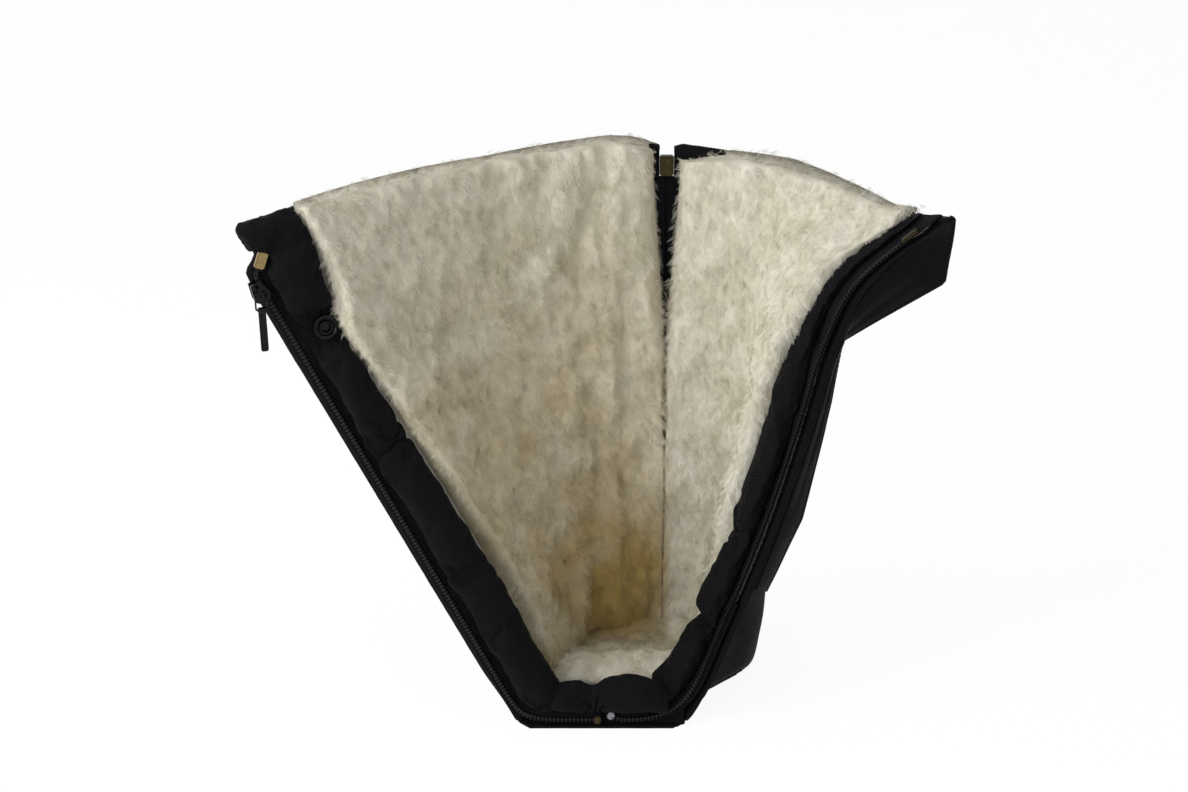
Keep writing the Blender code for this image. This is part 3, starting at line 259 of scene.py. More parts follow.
# The heights at which the layers start, and the height that turns them into levels
FLOOR_Z, WADDING_Z, WOOL_Z, LEVEL_HEIGHT = 0.0021, 0.0104, 0.0222, 0.3275
LEFT_KICK_Z, LEFT_KICK = (0.3040, 0.3170), 0.0110
CHAIN_INSET, ROLL_T, ROLL_WIDTH = 0.0035, 0.0042, 0.0090
FACING_START, LINING_GAP = 0.0092, 0.0022
TAPE_HEIGHT = SHELL_T + WADDING_T + 2 * GAP
TAPE_T = 0.0008
COIL_BASE, COIL_T, COIL_WIDTH = TAPE_T + GAP, 0.0022, 0.0028
WALL_SIZES = {
    "left": dict(
        rim=0.3325, turn=(math.radians(20.5),) * 2, lapel=(0.016, 0.034),
        front_pull=(0.012, 0.012), rear_pull=(0.085, 0.130), dips=(-0.0050, -0.0020, 0.0),
        edge=((0.0, 0.3325), (-0.0516, -0.2150), (-0.0400, -0.0546)),
        facing_z=(0.000, 0.040, 0.100, 0.190, 0.250, 0.270, 0.295, 0.319, 0.3325),
        facing=(0.0195, 0.0200, 0.0205, 0.0170, 0.0145, 0.0150, 0.0205, 0.0255, 0.0255)),
    "right": dict(
        rim=0.346, turn=(math.radians(98.0), math.radians(118.0)), lapel=(0.021, 0.048),
        front_pull=(0.010, 0.025), rear_pull=(0.128, 0.096), dips=(0.0140, 0.0060, 0.0100),
        edge=((0.000, 0.026, 0.062, 0.130, 0.211, 0.264, 0.302, 0.346),
              (0.053, 0.0674, 0.081, 0.104, 0.1255, 0.138, 0.1535, 0.1975),
              (-0.043, -0.043, -0.043, -0.046, -0.052, -0.057, -0.061, -0.066)),
        facing_z=(0.000, 0.130, 0.230, 0.262, 0.300, 0.346),
        facing=(0.0195, 0.0195, 0.0190, 0.0150, 0.0085, 0.0080)),
}


def lerp(a, b, t):
    return a + (b - a) * t


def unit(vector):
    vector = np.asarray(vector, float)
    return vector / np.linalg.norm(vector)


def smooth_step(low, high, x):
    t = np.clip((x - low) / (high - low), 0.0, 1.0)
    return t * t * (3 - 2 * t)


def smooth_through(x, xs, ys):
    """Value at x of a smooth curve through points, straight beyond its last one."""
    xs, ys = np.asarray(xs, float), np.asarray(ys, float)
    slopes = np.gradient(ys, xs)
    if x >= xs[-1]:
        return ys[-1] + slopes[-1] * (x - xs[-1])
    i = max(0, int(np.searchsorted(xs, x, side="right")) - 1)
    span = xs[i + 1] - xs[i]
    t = (x - xs[i]) / span
    return ((1 + 2 * t) * (1 - t) ** 2 * ys[i] + t * (1 - t) ** 2 * span * slopes[i]
            + t * t * (3 - 2 * t) * ys[i + 1] + t * t * (t - 1) * span * slopes[i + 1])


def bezier(p0, p1, p2, p3, t):
    t = np.asarray(t, float)[:, None]
    return ((1 - t) ** 3 * p0 + 3 * (1 - t) ** 2 * t * p1
            + 3 * (1 - t) * t ** 2 * p2 + t ** 3 * p3)


# %% The map of a wall


class Wall:
    """One wall's outer face and the lines that follow it."""

    def __init__(self, side):
        self.side, self.sign = side, -1.0 if side == "left" else 1.0
        self.sizes = WALL_SIZES[side]
        self.rim = self.sizes["rim"]
        self.sections = {}

    def kick(self, level):
        """Step by which the left edge turns in below its rim."""
        turned = smooth_step(*LEFT_KICK_Z, level * self.rim)
        return LEFT_KICK * turned if self.side == "left" else 0.0

    def edge(self, level):
        z, (zs, xs, ys) = level * self.rim, self.sizes["edge"]
        place = np.array([smooth_through(z, zs, xs), smooth_through(z, zs, ys), z])
        return place + self.kick(level) * self.lapel_run(level)

    def lapel_run(self, level):
        turn = lerp(*self.sizes["turn"], level)
        return np.array([math.cos(turn), math.sin(turn), 0.0])

    def lapel_width(self, level):
        return lerp(*self.sizes["lapel"], level) - self.kick(level)

    def lapel_line(self, level):
        fall = level * self.sizes["dips"][0] / self.lapel_width(level)
        return self.lapel_run(level) - np.array([0.0, 0.0, fall])

    def steepness(self, level):
        if self.side == "left":
            rise = np.array([-0.1634, -0.0146, self.rim])
        else:
            rise = self.edge(level + 0.02) - self.edge(level - 0.02)
        return max(0.70, unit(rise)[2])

    def facing_width(self, level):
        return float(np.interp(level * self.rim, self.sizes["facing_z"],
                               self.sizes["facing"])) - self.kick(level)

    def lining_start(self, level):
        facing = (FACING_START + self.facing_width(level)) / self.steepness(level)
        return CHAIN_INSET + facing + LINING_GAP

    def section(self, level):
        """Points along a level of the outer face, and their lengths from the front edge."""
        key = round(float(level), 6)
        if key not in self.sections:
            sizes, dips = self.sizes, self.sizes["dips"]
            front, run = self.edge(level), self.lapel_run(level)
            rear = np.array([SEAM_X, SEAM_Y, level * REAR_RIM_Z])
            start = front + self.lapel_width(level) * self.lapel_line(level)
            near = start + lerp(*sizes["front_pull"], level) * run
            far = rear + lerp(*sizes["rear_pull"], level) * np.array([self.sign, 0.0, 0.0])
            near[2] = lerp(start[2], rear[2], 1 / 3) - level * dips[1]
            far[2] = lerp(start[2], rear[2], 2 / 3) - level * dips[2]
            lapel = [lerp(front, start, k / 8) for k in range(8)]
            points = np.vstack([lapel, bezier(start, near, far, rear, np.linspace(0, 1, 81))])
            steps = np.linalg.norm(np.diff(points, axis=0), axis=1)
            self.sections[key] = (points, np.concatenate([[0.0], np.cumsum(steps)]))
        return self.sections[key]

    def width(self, level):
        return self.section(level)[1][-1]

    def row(self, level, insets, depths=0.0):
        """Points at depths under the outer face, all on one level."""
        points, length = self.section(level)
        insets = np.atleast_1d(np.asarray(insets, float))

        def on(values):
            return np.stack([np.interp(values, length, points[:, k]) for k in range(3)], 1)

        lapel = self.lapel_width(level)
        reach = np.minimum(0.012, np.minimum(insets - lapel, length[-1] - insets) + 0.001)
        reach = np.maximum(reach, 0.0005)
        run = on(insets + reach) - on(insets - reach)
        run[insets <= lapel] = self.lapel_run(level)
        run[:, 2] = 0.0
        run /= np.linalg.norm(run, axis=1)[:, None]
        inward = self.sign * np.stack([-run[:, 1], run[:, 0], 0 * run[:, 0]], 1)
        return on(insets) + np.atleast_1d(depths)[:, None] * inward


WALLS = {side: Wall(side) for side in ("left", "right")}
for name, wall in WALLS.items():
    print(name, "wall, width at the rim:", round(wall.width(1.0) * 1000), "mm")

# %% [markdown]
# Cloth layers are closed grids: one grid of points for the outer face, one for the inner
# face, joined round the border. Noise moves the points into folds and lumps. It is the same
# noise each run, because it depends only on the place.

# %% Grids and noise


def rough(points, size, shift=0.0, octaves=2, stretch=(1.0, 1.0, 1.0)):
    """Smooth noise of about -1 to 1 with lumps of a size in metres."""
    flat = np.asarray(points, float).reshape(-1, 3) / (size * np.array(stretch)) + shift
    values = [noise.fractal(Vector(p), 1.0, 2.1, octaves) for p in flat.tolist()]
    return np.array(values).reshape(np.shape(points)[:-1])


def grid_normals(grid):
    normal = np.cross(np.gradient(grid, axis=0), np.gradient(grid, axis=1))
    return normal / (np.linalg.norm(normal, axis=2)[:, :, None] + 1e-12)


def closed_grid(outer, inner):
    """Vertices and faces of a closed sheet between two grids of rows and columns."""
    rows, cols = outer.shape[:2]
    index = np.arange(rows * cols).reshape(rows, cols)
    faces = []
    for base, way in ((0, 1), (rows * cols, -1)):
        quads = np.stack([index[:-1, :-1], index[:-1, 1:], index[1:, 1:], index[1:, :-1]], -1)
        faces.extend((quads.reshape(-1, 4)[:, ::way] + base).tolist())
    ring = np.concatenate([index[0, :], index[1:, -1], index[-1, -2::-1], index[-2:0:-1, 0]])
    after = np.roll(ring, -1)
    side = np.stack([after, ring, ring + rows * cols, after + rows * cols], -1)
    faces.extend(side.tolist())
    points = np.vstack([outer.reshape(-1, 3), inner.reshape(-1, 3)])
    return points, faces


def face_outward(mesh, merged=False):
    """Turns a closed mesh's faces outward, after merging its doubles if asked."""
    shape = bmesh.new()
    shape.from_mesh(mesh)
    if merged:
        bmesh.ops.remove_doubles(shape, verts=shape.verts, dist=1e-6)
    bmesh.ops.recalc_face_normals(shape, faces=shape.faces)
    shape.to_mesh(mesh)
    shape.free()


def mesh_object(name, points, faces, edges=(), closed=True):
    """Smooth mesh object at the origin, in the scene's collection."""
    mesh = bpy.data.meshes.new(name)
    mesh.from_pydata([tuple(map(float, p)) for p in points], list(edges), faces)
    if closed:
        face_outward(mesh)
    mesh.shade_smooth()
    made = bpy.data.objects.new(name, mesh)
    bpy.context.scene.collection.objects.link(made)
    return made


def add_piece(name, points, faces, finish, slot=None):
    """Closed piece with its finish; its slot is not used."""
    piece = mesh_object(name, points, faces)
    piece.data.materials.append(finish)
    return piece


def sheet_piece(name, outer, inner, finish, slot):
    """Closed piece between two grids of points."""
    return add_piece(name, *closed_grid(np.array(outer), np.array(inner)), finish, slot)


def ring_faces(count, around):
    """Faces between rings of points, each ring joined to the next."""
    return [(j * around + k, j * around + (k + 1) % around,
             (j + 1) * around + (k + 1) % around, (j + 1) * around + k)
            for j in range(count - 1) for k in range(around)]


def ring_piece(name, rings, finish, slot=None):
    """Closed piece swept through rings of points, with a flat face at each end."""
    count, around = rings.shape[:2]
    ends = [tuple(range(around))[::-1], tuple(range((count - 1) * around, count * around))]
    return add_piece(name, rings.reshape(-1, 3), ring_faces(count, around) + ends, finish,
                     slot)


def turned_form(stations, sides, place):
    """Points and faces of a form turned through (along, radius) stations."""
    angles = [2 * math.pi * k / sides for k in range(sides)]
    points = [place(x, r, a) for x, r in stations[1:-1] for a in angles]
    points += [place(stations[0][0], 0.0, 0.0), place(stations[-1][0], 0.0, 0.0)]
    first, last, rings = len(points) - 2, len(points) - 1, len(stations) - 2
    faces = ring_faces(rings, sides)
    for k in range(sides):
        n = (k + 1) % sides
        faces += [(first, n, k), (last, (rings - 1) * sides + k, (rings - 1) * sides + n)]
    return points, faces


def triangles(piece):
    return sum(len(face.vertices) - 2 for face in piece.data.polygons)


def tell(piece):
    """Prints a piece's name and how many triangles it has."""
    print(piece.name, triangles(piece), "triangles")


print("grid tools ready")

# %% [markdown]
# The shell is the cut panel of black twill over the wadding. It is drawn tight at its seams
# and hems and swells softly between them, with short gathers running in from the rolled
# front edge. A fine grid shaped by the wall map, pushed out by that swell and by noise, gives
# this without a simulation.

# %% Outer shells


SHELL_ROWS, ROLL_COLUMNS, FLAT_COLUMNS = 96, 12, 73
SHELL_END = 0.0085
SHELL_SWELL, GATHER, EDGE_ROLL = 0.0012, 0.0007, 0.0038


def shell_grid(wall):
    """Outer and inner points of a shell, finest in its rolled front edge."""
    outer, inner = [], []
    roll = ROLL_WIDTH * (1 - np.cos(np.linspace(0, math.pi, ROLL_COLUMNS))) / 2
    for level in np.linspace(FLOOR_Z / LEVEL_HEIGHT, 1.0, SHELL_ROWS):
        end = wall.width(level) - SHELL_END - SHELL_T * SEAM_SLANT
        insets = np.concatenate([roll, np.linspace(ROLL_WIDTH, end, FLAT_COLUMNS)[1:]])
        share = np.clip(insets / ROLL_WIDTH, 0, 1)
        bulge = np.sqrt(np.sin(math.pi * share).clip(0))
        outer.append(wall.row(level, insets))
        inner.append(wall.row(level, insets, lerp(SHELL_T, ROLL_T, bulge)))
    return np.array(outer), np.array(inner)


def swell(grid, span_rows, span_cols):
    """Share, 0 at the sewn borders and 1 inside, over spans given as shares."""
    v = np.linspace(0, 1, grid.shape[0])[:, None]
    u = np.linspace(0, 1, grid.shape[1])[None, :]
    near = np.minimum(np.minimum(v, 1 - v) / span_rows, np.minimum(u, 1 - u) / span_cols)
    return np.sqrt(np.clip(near, 0, 1))


# How far the rim hangs below an even line, by place across the picture
RIM_SAGS = {"left": ((-0.14, -0.0665, 0.0), (0.0, 0.0026, 0.0)),
            "right": ((0.075, 0.110, 0.150, 0.178, 0.190),
                      (0.0, 0.0030, 0.0050, 0.0048, 0.0020))}


def sag_rim(side, grid):
    """Lets the top rows of a wall's grid hang."""
    top = smooth_step(0.93, 1.0, np.linspace(0, 1, grid.shape[0]))[:, None]
    grid[:, :, 2] -= top * np.interp(grid[:, :, 0], *RIM_SAGS[side])


for side, wall in WALLS.items():
    outer, inner = shell_grid(wall)
    facing = grid_normals(outer)
    facing *= np.sign((facing * (outer - inner)).sum(2).mean())
    held = swell(outer, 0.10, 0.12)
    lift = held * SHELL_SWELL * (1 + rough(outer, 0.050, 3.1, stretch=(1, 1, 1.5)))
    gather = rough(outer, 0.012, 7.7, stretch=(3, 3, 0.8)) * GATHER
    edge_near = np.exp(-np.linspace(0, 1, outer.shape[1])[None, :] * 9)
    lift = lift + gather * (edge_near + 0.25) * np.minimum(1, held * 3)
    outer = outer + facing * lift[:, :, None]
    # The rolled front edge of the left wall stands out beyond its hem
    if side == "left":
        height = np.linspace(0, 1, outer.shape[0])[:, None]
        inset = np.linalg.norm(outer - outer[:, :1], axis=2)
        roll = np.sin(math.pi * np.clip((inset + 0.0030) / 0.0200, 0, 1)) ** 0.8
        roll *= EDGE_ROLL * smooth_step(0.02, 0.12, height) * smooth_step(0.93, 0.86, height)
        run = np.array([wall.lapel_run(level) for level in height[:, 0]])[:, None, :]
        outer = outer - run * (roll * smooth_step(0.020, 0.002, inset))[:, :, None]
    sag_rim(side, outer)
    sag_rim(side, inner)
    piece = sheet_piece(f"{side}_shell_cloth", outer, inner, BLACK_TWILL, "black_twill")
    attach(piece, f"{side}_half")
    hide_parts(f"{side}_shell")
    flat = (round(wall.width(0.5), 3), wall.rim)
    print(piece.name, triangles(piece), "triangles, cut", flat)

# %% [markdown]
# Wadding lies between the shell and the pile, where the rim binding and the seam's hems hide
# it. It is a lofted web, so its faces are lumpy.

# %% Wadding
WADDING_START, WADDING_END, WADDING_ROWS, WADDING_COLUMNS = 0.0098, 0.0150, 48, 44


def wadding_face(wall, depth):
    """Points of one face of the wadding, at its depth."""
    rows = []
    for level in np.linspace(WADDING_Z / LEVEL_HEIGHT, 1 - 0.002 / wall.rim, WADDING_ROWS):
        end = wall.width(level) - WADDING_END - depth * SEAM_SLANT
        rows.append(wall.row(level, np.linspace(WADDING_START, end, WADDING_COLUMNS), depth))
    return np.array(rows)


for side, wall in WALLS.items():
    outer, inner = (wadding_face(wall, WADDING_DEPTH + t) for t in (0.0, WADDING_T))
    web = 0.0004 * rough(outer, 0.012, 1.3) * swell(outer, 0.05, 0.05)
    outer = outer + (inner - outer) * (0.06 + web / WADDING_T)[:, :, None]
    sag_rim(side, outer)
    sag_rim(side, inner)
    piece = sheet_piece(f"{side}_wadding_web", outer, inner, WADDING, "polyester_wadding")
    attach(piece, f"{side}_half")
    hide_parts(f"{side}_wadding")
    tell(piece)

# %% [markdown]
# The pile lining is the main thing that the eye sees. Its body is a thick closed sheet with a
# rounded border, pushed into soft lumps the size of locks, and into a few long upright
# valleys beside the rear seam where the panel is bent. A vertex value says where the surface
# is pile, so that fibres grow only there, and another paints the deep, warm shade of the toe.

# %% Pile body


def float_attribute(piece, name, values):
    layer = piece.data.attributes.new(name, "FLOAT", "POINT")
    layer.data.foreach_set("value", np.asarray(values, np.float32).ravel())


DEEP, SHADED = np.array([0.014, 0.046, 0.052]), np.array([-0.050, 0.040, 0.090])


def warmth(points):
    """Painted shade: 0 on open pile, about 1 in the pocket above the toe, broad shade round it.

    It stays on the left of the rear seam, since the right wall faces the light.
    """
    points = np.asarray(points, float)
    near = np.exp(-(((points - DEEP) / np.array([0.040, 0.045, 0.055])) ** 2).sum(-1))
    broad = np.exp(-(((points - SHADED) / np.array([0.125, 0.250, 0.190])) ** 2).sum(-1))
    shade = 0.75 * near + broad * (0.55 + 0.30 * rough(points, 0.030, 4.4))
    return np.clip(shade * smooth_step(0.048, 0.039, points[..., 0]), 0, 1)


def pile_lumps(points):
    """How far the locks stand out, in metres."""
    return (0.0030 * rough(points, 0.036, 2.2, 2) + 0.0024 * rough(points, 0.014, 5.9, 2)
            + 0.0014 * rough(points, 0.0055, 8.3, 2, stretch=(1, 1, 1.8)))


# How far the crest lies above or below an even rim, by place across the picture
CREST_DROPS = {
    "left": ((-0.190, -0.1425, -0.0665, 0.0, 0.012, 0.020, 0.027, 0.033),
             (0.0005, -0.0006, -0.0022, 0.0022, 0.0010, -0.0012, -0.0050, -0.0130)),
    "right": ((0.044, 0.049, 0.056, 0.068, 0.085, 0.115, 0.141, 0.169, 0.19),
              (-0.0240, -0.0160, -0.0100, -0.0070, -0.0020, 0.0018, -0.0002, -0.0010, -0.0030)),
}
PILE_ROWS, PILE_COLUMNS = 200, 150
FRONT_ROUND, RIM_ROUND = 0.005, 0.0085
VALLEY_DEPTH, VALLEY_FROM_SEAM, VALLEY_SPREAD = 0.0075, 0.040, 0.034
LEAN_WIDTH, CREST_HEIGHT, CREST_UNEVEN = 0.013, 0.040, 0.0020
# The pile's back is pushed out over the binding near the rim, and raised
BACK_OUT, BACK_OUT_HEIGHT, BACK_UP, BACK_UP_HEIGHT = 0.0036, 0.010, 0.0068, 0.012


def pile_grids(wall):
    """The pile's back and its open face, and the radius of its border at the seam."""
    outer, inner, seam_round = [], [], []
    u = np.linspace(0, 1, PILE_COLUMNS)
    u = u - 0.035 * np.sin(2 * math.pi * u) * 0.8
    for level in np.linspace(WOOL_Z / LEVEL_HEIGHT, 1 + WOOL_RISE / wall.rim, PILE_ROWS):
        depth = lerp(FLOOR_WOOL_T, WOOL_T, smooth_step(0.05, 0.50, level))
        base = min(level, 1.0)
        # The pile closes over the seam low down, where nothing pulls the walls apart
        end = wall.width(base) - lerp(-0.0006, 0.0070, smooth_step(0.60, 0.98, level))
        wedge = lerp(0.02, SEAM_SLANT, smooth_step(0.58, 0.80, level))
        seam_round.append(lerp(0.0008, 0.0095, smooth_step(0.36, 0.80, level)))
        start = wall.lining_start(base) - 0.0012
        outer.append(wall.row(base, lerp(start, end - WOOL_DEPTH * SEAM_SLANT, u), WOOL_DEPTH))
        inner.append(wall.row(level, lerp(start, end - (WOOL_DEPTH + depth) * wedge, u),
                              WOOL_DEPTH + depth))
    outer, inner = np.array(outer), np.array(inner)
    outer[:, :, 2] = np.minimum(outer[:, :, 2], inner[:, :, 2])
    return outer, inner, np.array(seam_round)[:, None]


def border_distances(grid):
    """How far each point lies from the front, the seam and the rim, in metres."""
    along = np.linalg.norm(np.diff(grid, axis=1), axis=2).cumsum(1)
    from_front = np.hstack([np.zeros((grid.shape[0], 1)), along])
    rise = np.linalg.norm(np.diff(grid, axis=0), axis=2).cumsum(0)
    from_foot = np.vstack([np.zeros((1, grid.shape[1])), rise])
    return from_front, from_front[:, -1:] - from_front, from_foot[-1:] - from_foot


def rounded(distance, radius):
    """Share of the full thickness at a distance from a rounded border."""
    t = 1 - np.clip(distance / radius, 0, 1)
    return np.sqrt(1 - t * t * 0.999)


def valleys(wall, inner, from_seam):
    """Long upright folds beside the rear seam, deeper in the left wall."""
    spots = np.stack([from_seam, 0 * from_seam, inner[:, :, 2] * 0.22], -1)
    depth = VALLEY_DEPTH * (1.0 if wall.side == "left" else 0.35)
    near = np.exp(-((from_seam - VALLEY_FROM_SEAM) / VALLEY_SPREAD) ** 2)
    return depth * near * rough(spots, 0.016, 1.9 + 3 * wall.sign, 2)


print("pile shapes ready")

# %% The piles of the walls
for side, wall in WALLS.items():
    outer, inner, seam_round = pile_grids(wall)
    from_front, from_seam, from_rim = border_distances(inner)
    full = (rounded(from_front, FRONT_ROUND) * rounded(from_rim, RIM_ROUND)
            * rounded(from_seam, seam_round))
    across = inner - outer
    normal = grid_normals(inner)
    normal *= np.sign((normal * across).sum(2))[:, :, None]
    lumps = pile_lumps(inner) + valleys(wall, inner, from_seam) * (full > 0.6)
    lumps *= 0.30 + 0.70 * full
    surface = (outer + across * (0.10 + 0.90 * full)[:, :, None]
               + normal * lumps[:, :, None])
    # The pile leans a little over the facing beside it
    uneven = 0.0016 + 0.0014 * rough(inner, 0.016, 3.3, 2)
    lean = np.clip(1 - from_front / LEAN_WIDTH, 0, 1) * full * uneven
    inward = np.gradient(inner, axis=1)
    surface -= inward / np.linalg.norm(inward, axis=2)[:, :, None] * lean[:, :, None]
    # Above the rim the pile swells back over the binding, and its crest is uneven
    crest = np.clip(1 - from_rim / CREST_HEIGHT, 0, 1) ** 1.5
    drop = np.interp(inner[:, :, 0], *CREST_DROPS[side])
    surface[:, :, 2] += crest * (drop + CREST_UNEVEN * rough(inner, 0.040, 6.1, 2))
    back = outer - across / np.linalg.norm(across, axis=2)[:, :, None] * (
        BACK_OUT * np.clip(1 - from_rim / BACK_OUT_HEIGHT, 0, 1))[:, :, None]
    back[:, :, 2] += crest * drop + np.clip(1 - from_rim / BACK_UP_HEIGHT, 0, 1) * BACK_UP
    back_pile = (from_rim < BACK_UP_HEIGHT) & (from_seam > 0.006)
    piece = sheet_piece(f"{side}_pile_body", surface, back, CREAM_PILE, "cream_pile")
    float_attribute(piece, "pile", np.concatenate([np.ones(back_pile.size),
                                                   back_pile.ravel()]))
    # The painted shade of the toe pocket, stored on the points
    float_attribute(piece, "warmth", warmth(np.vstack([surface.reshape(-1, 3),
                                                       back.reshape(-1, 3)])))
    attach(piece, f"{side}_half")
    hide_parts(f"{side}_wool")
    tell(piece)

# %% [markdown]
# The toe closes the bottom: a flat sole of twill, wadding and a floor of pile. They start
# from copies of the CAD solids, because their outlines are already right. Each copy has its
# doubles merged, is remeshed into even small faces, and is then moved by noise. The floor
# has to bend when the right wall folds in; these pieces ride on neither half.


def node_copy(node, name, voxel):
    """Mesh object with a CAD node's form, its doubles merged and evenly remeshed."""
    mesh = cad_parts[node].data.copy()
    face_outward(mesh, merged=True)
    mesh.materials.clear()
    piece = bpy.data.objects.new(name, mesh)
    bpy.context.scene.collection.objects.link(piece)
    step = piece.modifiers.new("even", "REMESH")
    step.mode, step.voxel_size, step.use_smooth_shade = "VOXEL", voxel, True
    return plain_mesh(piece)


def plain_mesh(piece):
    """The same object with its modifiers' result as its mesh and no modifier left."""
    graph = bpy.context.evaluated_depsgraph_get()
    made = bpy.data.meshes.new_from_object(piece.evaluated_get(graph))
    piece.modifiers.clear()
    piece.data = made
    return piece


def points_of(piece):
    return np.array([v.co for v in piece.data.vertices], float)


def normals_of(piece):
    return np.array([v.normal for v in piece.data.vertices], float)


def move_points(piece, points):
    piece.data.vertices.foreach_set("co", np.asarray(points, np.float32).ravel())
    piece.data.update()


def finish_piece(piece, finish, slot):
    piece.data.materials.clear()
    piece.data.materials.append(finish)
    piece.data.shade_smooth()
    return piece


for node, name, voxel, finish, slot in (
        ("toe_shell", "toe_sole", 0.0009, BLACK_TWILL, "black_twill"),
        ("toe_wadding", "toe_wadding_web", 0.0022, WADDING, "polyester_wadding"),
        ("toe_wool", "toe_pile_body", 0.0016, CREAM_PILE, "cream_pile")):
    piece = finish_piece(node_copy(node, name, voxel), finish, slot)
    points, normal = points_of(piece), normals_of(piece)
    if node == "toe_wool":
        top = normal[:, 2].clip(0, 1)
        lip = 0.0100 * np.exp(-((points[:, 1] + 0.014) / 0.019) ** 2) - 0.001
        cove = 0.0050 * smooth_step(0.026, 0.046, points[:, 1])
        moved = points + normal * (top * (pile_lumps(points) + lip + cove))[:, None]
        move_points(piece, moved)
        float_attribute(piece, "pile", (normal[:, 2] > 0.3).astype(float))
        # Painted shade on the toe floor, none on its bright front lip
        float_attribute(piece, "warmth", warmth(moved) * smooth_step(0.006, 0.040, moved[:, 1]))
    elif node == "toe_wadding":
        move_points(piece, points - normal * (0.0003 + 0.0002 * rough(points, 0.01))[:, None])
    else:
        move_points(piece, points + normal * (0.0001 * rough(points, 0.015, 2.0))[:, None])
    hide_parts(node)
    tell(piece)
TOE_PIECES = ["toe_sole", "toe_wadding_web", "toe_pile_body"]

# %% [markdown]
# Fibres make the pile soft against the black cloth. A lock is a few curved, tapering fibres,
# modelled once. They lie fanned out, because fibres that stood up rendered as dark strokes.
# Geometry Nodes scatter the lock over the pile with a fixed seed, turn each one down and
# along a slow noise so that neighbours lie together, and vary its size.

# %% One lock of fibres


def lock_mesh(name, count, length, width):
    """Tapering fibres that lie fanned out along X, three triangles each."""
    draw = np.random.default_rng(7)
    points, faces = [], []
    for k in range(count):
        turn = draw.uniform(-1.1, 1.1)
        out = np.array([math.cos(turn), math.sin(turn), 0.0])
        side = np.array([-out[1], out[0], 0.0])
        root = np.array([draw.uniform(-0.4, 0.2), draw.uniform(-0.35, 0.35), 0.0]) * length
        long, curl = length * draw.uniform(0.6, 1.0), draw.uniform(-0.30, 0.30)
        mid = root + out * long * 0.5 + side * curl * long * 0.5
        tip = root + out * long * 0.9 - side * curl * long * 0.3
        mid[2], tip[2] = draw.uniform(0.0009, 0.0019), draw.uniform(0.0006, 0.0030)
        base, half = len(points), side * width / 2
        points += [root - half, root + half, mid - half * 0.8, mid + half * 0.8, tip]
        faces += [(base, base + 1, base + 3, base + 2), (base + 2, base + 3, base + 4)]
    lock = mesh_object(name, points, faces, closed=False)
    lock.hide_render = True
    return lock


LOCK = lock_mesh("lock_of_fibres", 8, 0.0066, 0.00028)
print("lock:", triangles(LOCK), "triangles")

# %% Scattering the locks


def new_tree(name, *inputs):
    """Geometry Nodes tree with a mesh in and out, and named inputs of given kinds."""
    tree = bpy.data.node_groups.new(name, "GeometryNodeTree")
    tree.interface.new_socket("Geometry", in_out="INPUT", socket_type="NodeSocketGeometry")
    for label, kind in inputs:
        tree.interface.new_socket(label, in_out="INPUT", socket_type=f"NodeSocket{kind}")
    tree.interface.new_socket("Geometry", in_out="OUTPUT", socket_type="NodeSocketGeometry")
    return tree, add_node(tree, "NodeGroupInput").outputs


def named_value(tree, name, kind):
    """A vertex value of the mesh that the tree works on."""
    return add_node(tree, "GeometryNodeInputNamedAttribute", {"Name": name},
                    data_type=kind).outputs[0]


def vector_maths(tree, operation, *values, **named):
    """Output of a vector math node on values or linked outputs."""
    return add_node(tree, "ShaderNodeVectorMath", {**dict(enumerate(values)), **named},
                    operation=operation).outputs[0]


def aimed(tree, up, along):
    """Rotation that stands Z along one direction and turns X toward another."""
    stand = add_node(tree, "FunctionNodeAlignRotationToVector", {"Vector": up}, axis="Z")
    return add_node(tree, "FunctionNodeAlignRotationToVector", {
        "Rotation": stand.outputs[0], "Vector": along}, axis="X", pivot_axis="Z").outputs[0]


def set_units(tree, given, points, rotation, **scale):
    """The unit set at every point, made real and given its material, at the tree's end."""
    unit_mesh = add_node(tree, "GeometryNodeObjectInfo", {"Object": given["Unit"]})
    units = add_node(tree, "GeometryNodeInstanceOnPoints", {
        "Points": points, "Instance": unit_mesh.outputs["Geometry"], "Rotation": rotation,
        **scale})
    real = add_node(tree, "GeometryNodeRealizeInstances", {0: units.outputs[0]})
    done = add_node(tree, "GeometryNodeSetMaterial", {"Geometry": real.outputs[0],
                                                      "Material": given["Material"]})
    add_node(tree, "NodeGroupOutput", {0: done.outputs[0]})
    return tree


def run_tree(tree, base, name, **values):
    """New mesh object: the tree's result on a base object, with no modifier left."""
    maker = bpy.data.objects.new(name, base.data)
    bpy.context.scene.collection.objects.link(maker)
    step = maker.modifiers.new("make", "NODES")
    step.node_group = tree
    for item in tree.interface.items_tree:
        label = item.name.replace(" ", "_")
        if item.in_out == "INPUT" and label in values:
            step[item.identifier] = values[label]
    maker.update_tag()
    bpy.context.view_layer.update()
    piece = plain_mesh(maker)
    # The base brings an empty first slot, so the one finish is set for every face
    piece.data.materials.clear()
    piece.data.materials.append(values["Material"])
    piece.data.polygons.foreach_set("material_index", [0] * len(piece.data.polygons))
    return piece


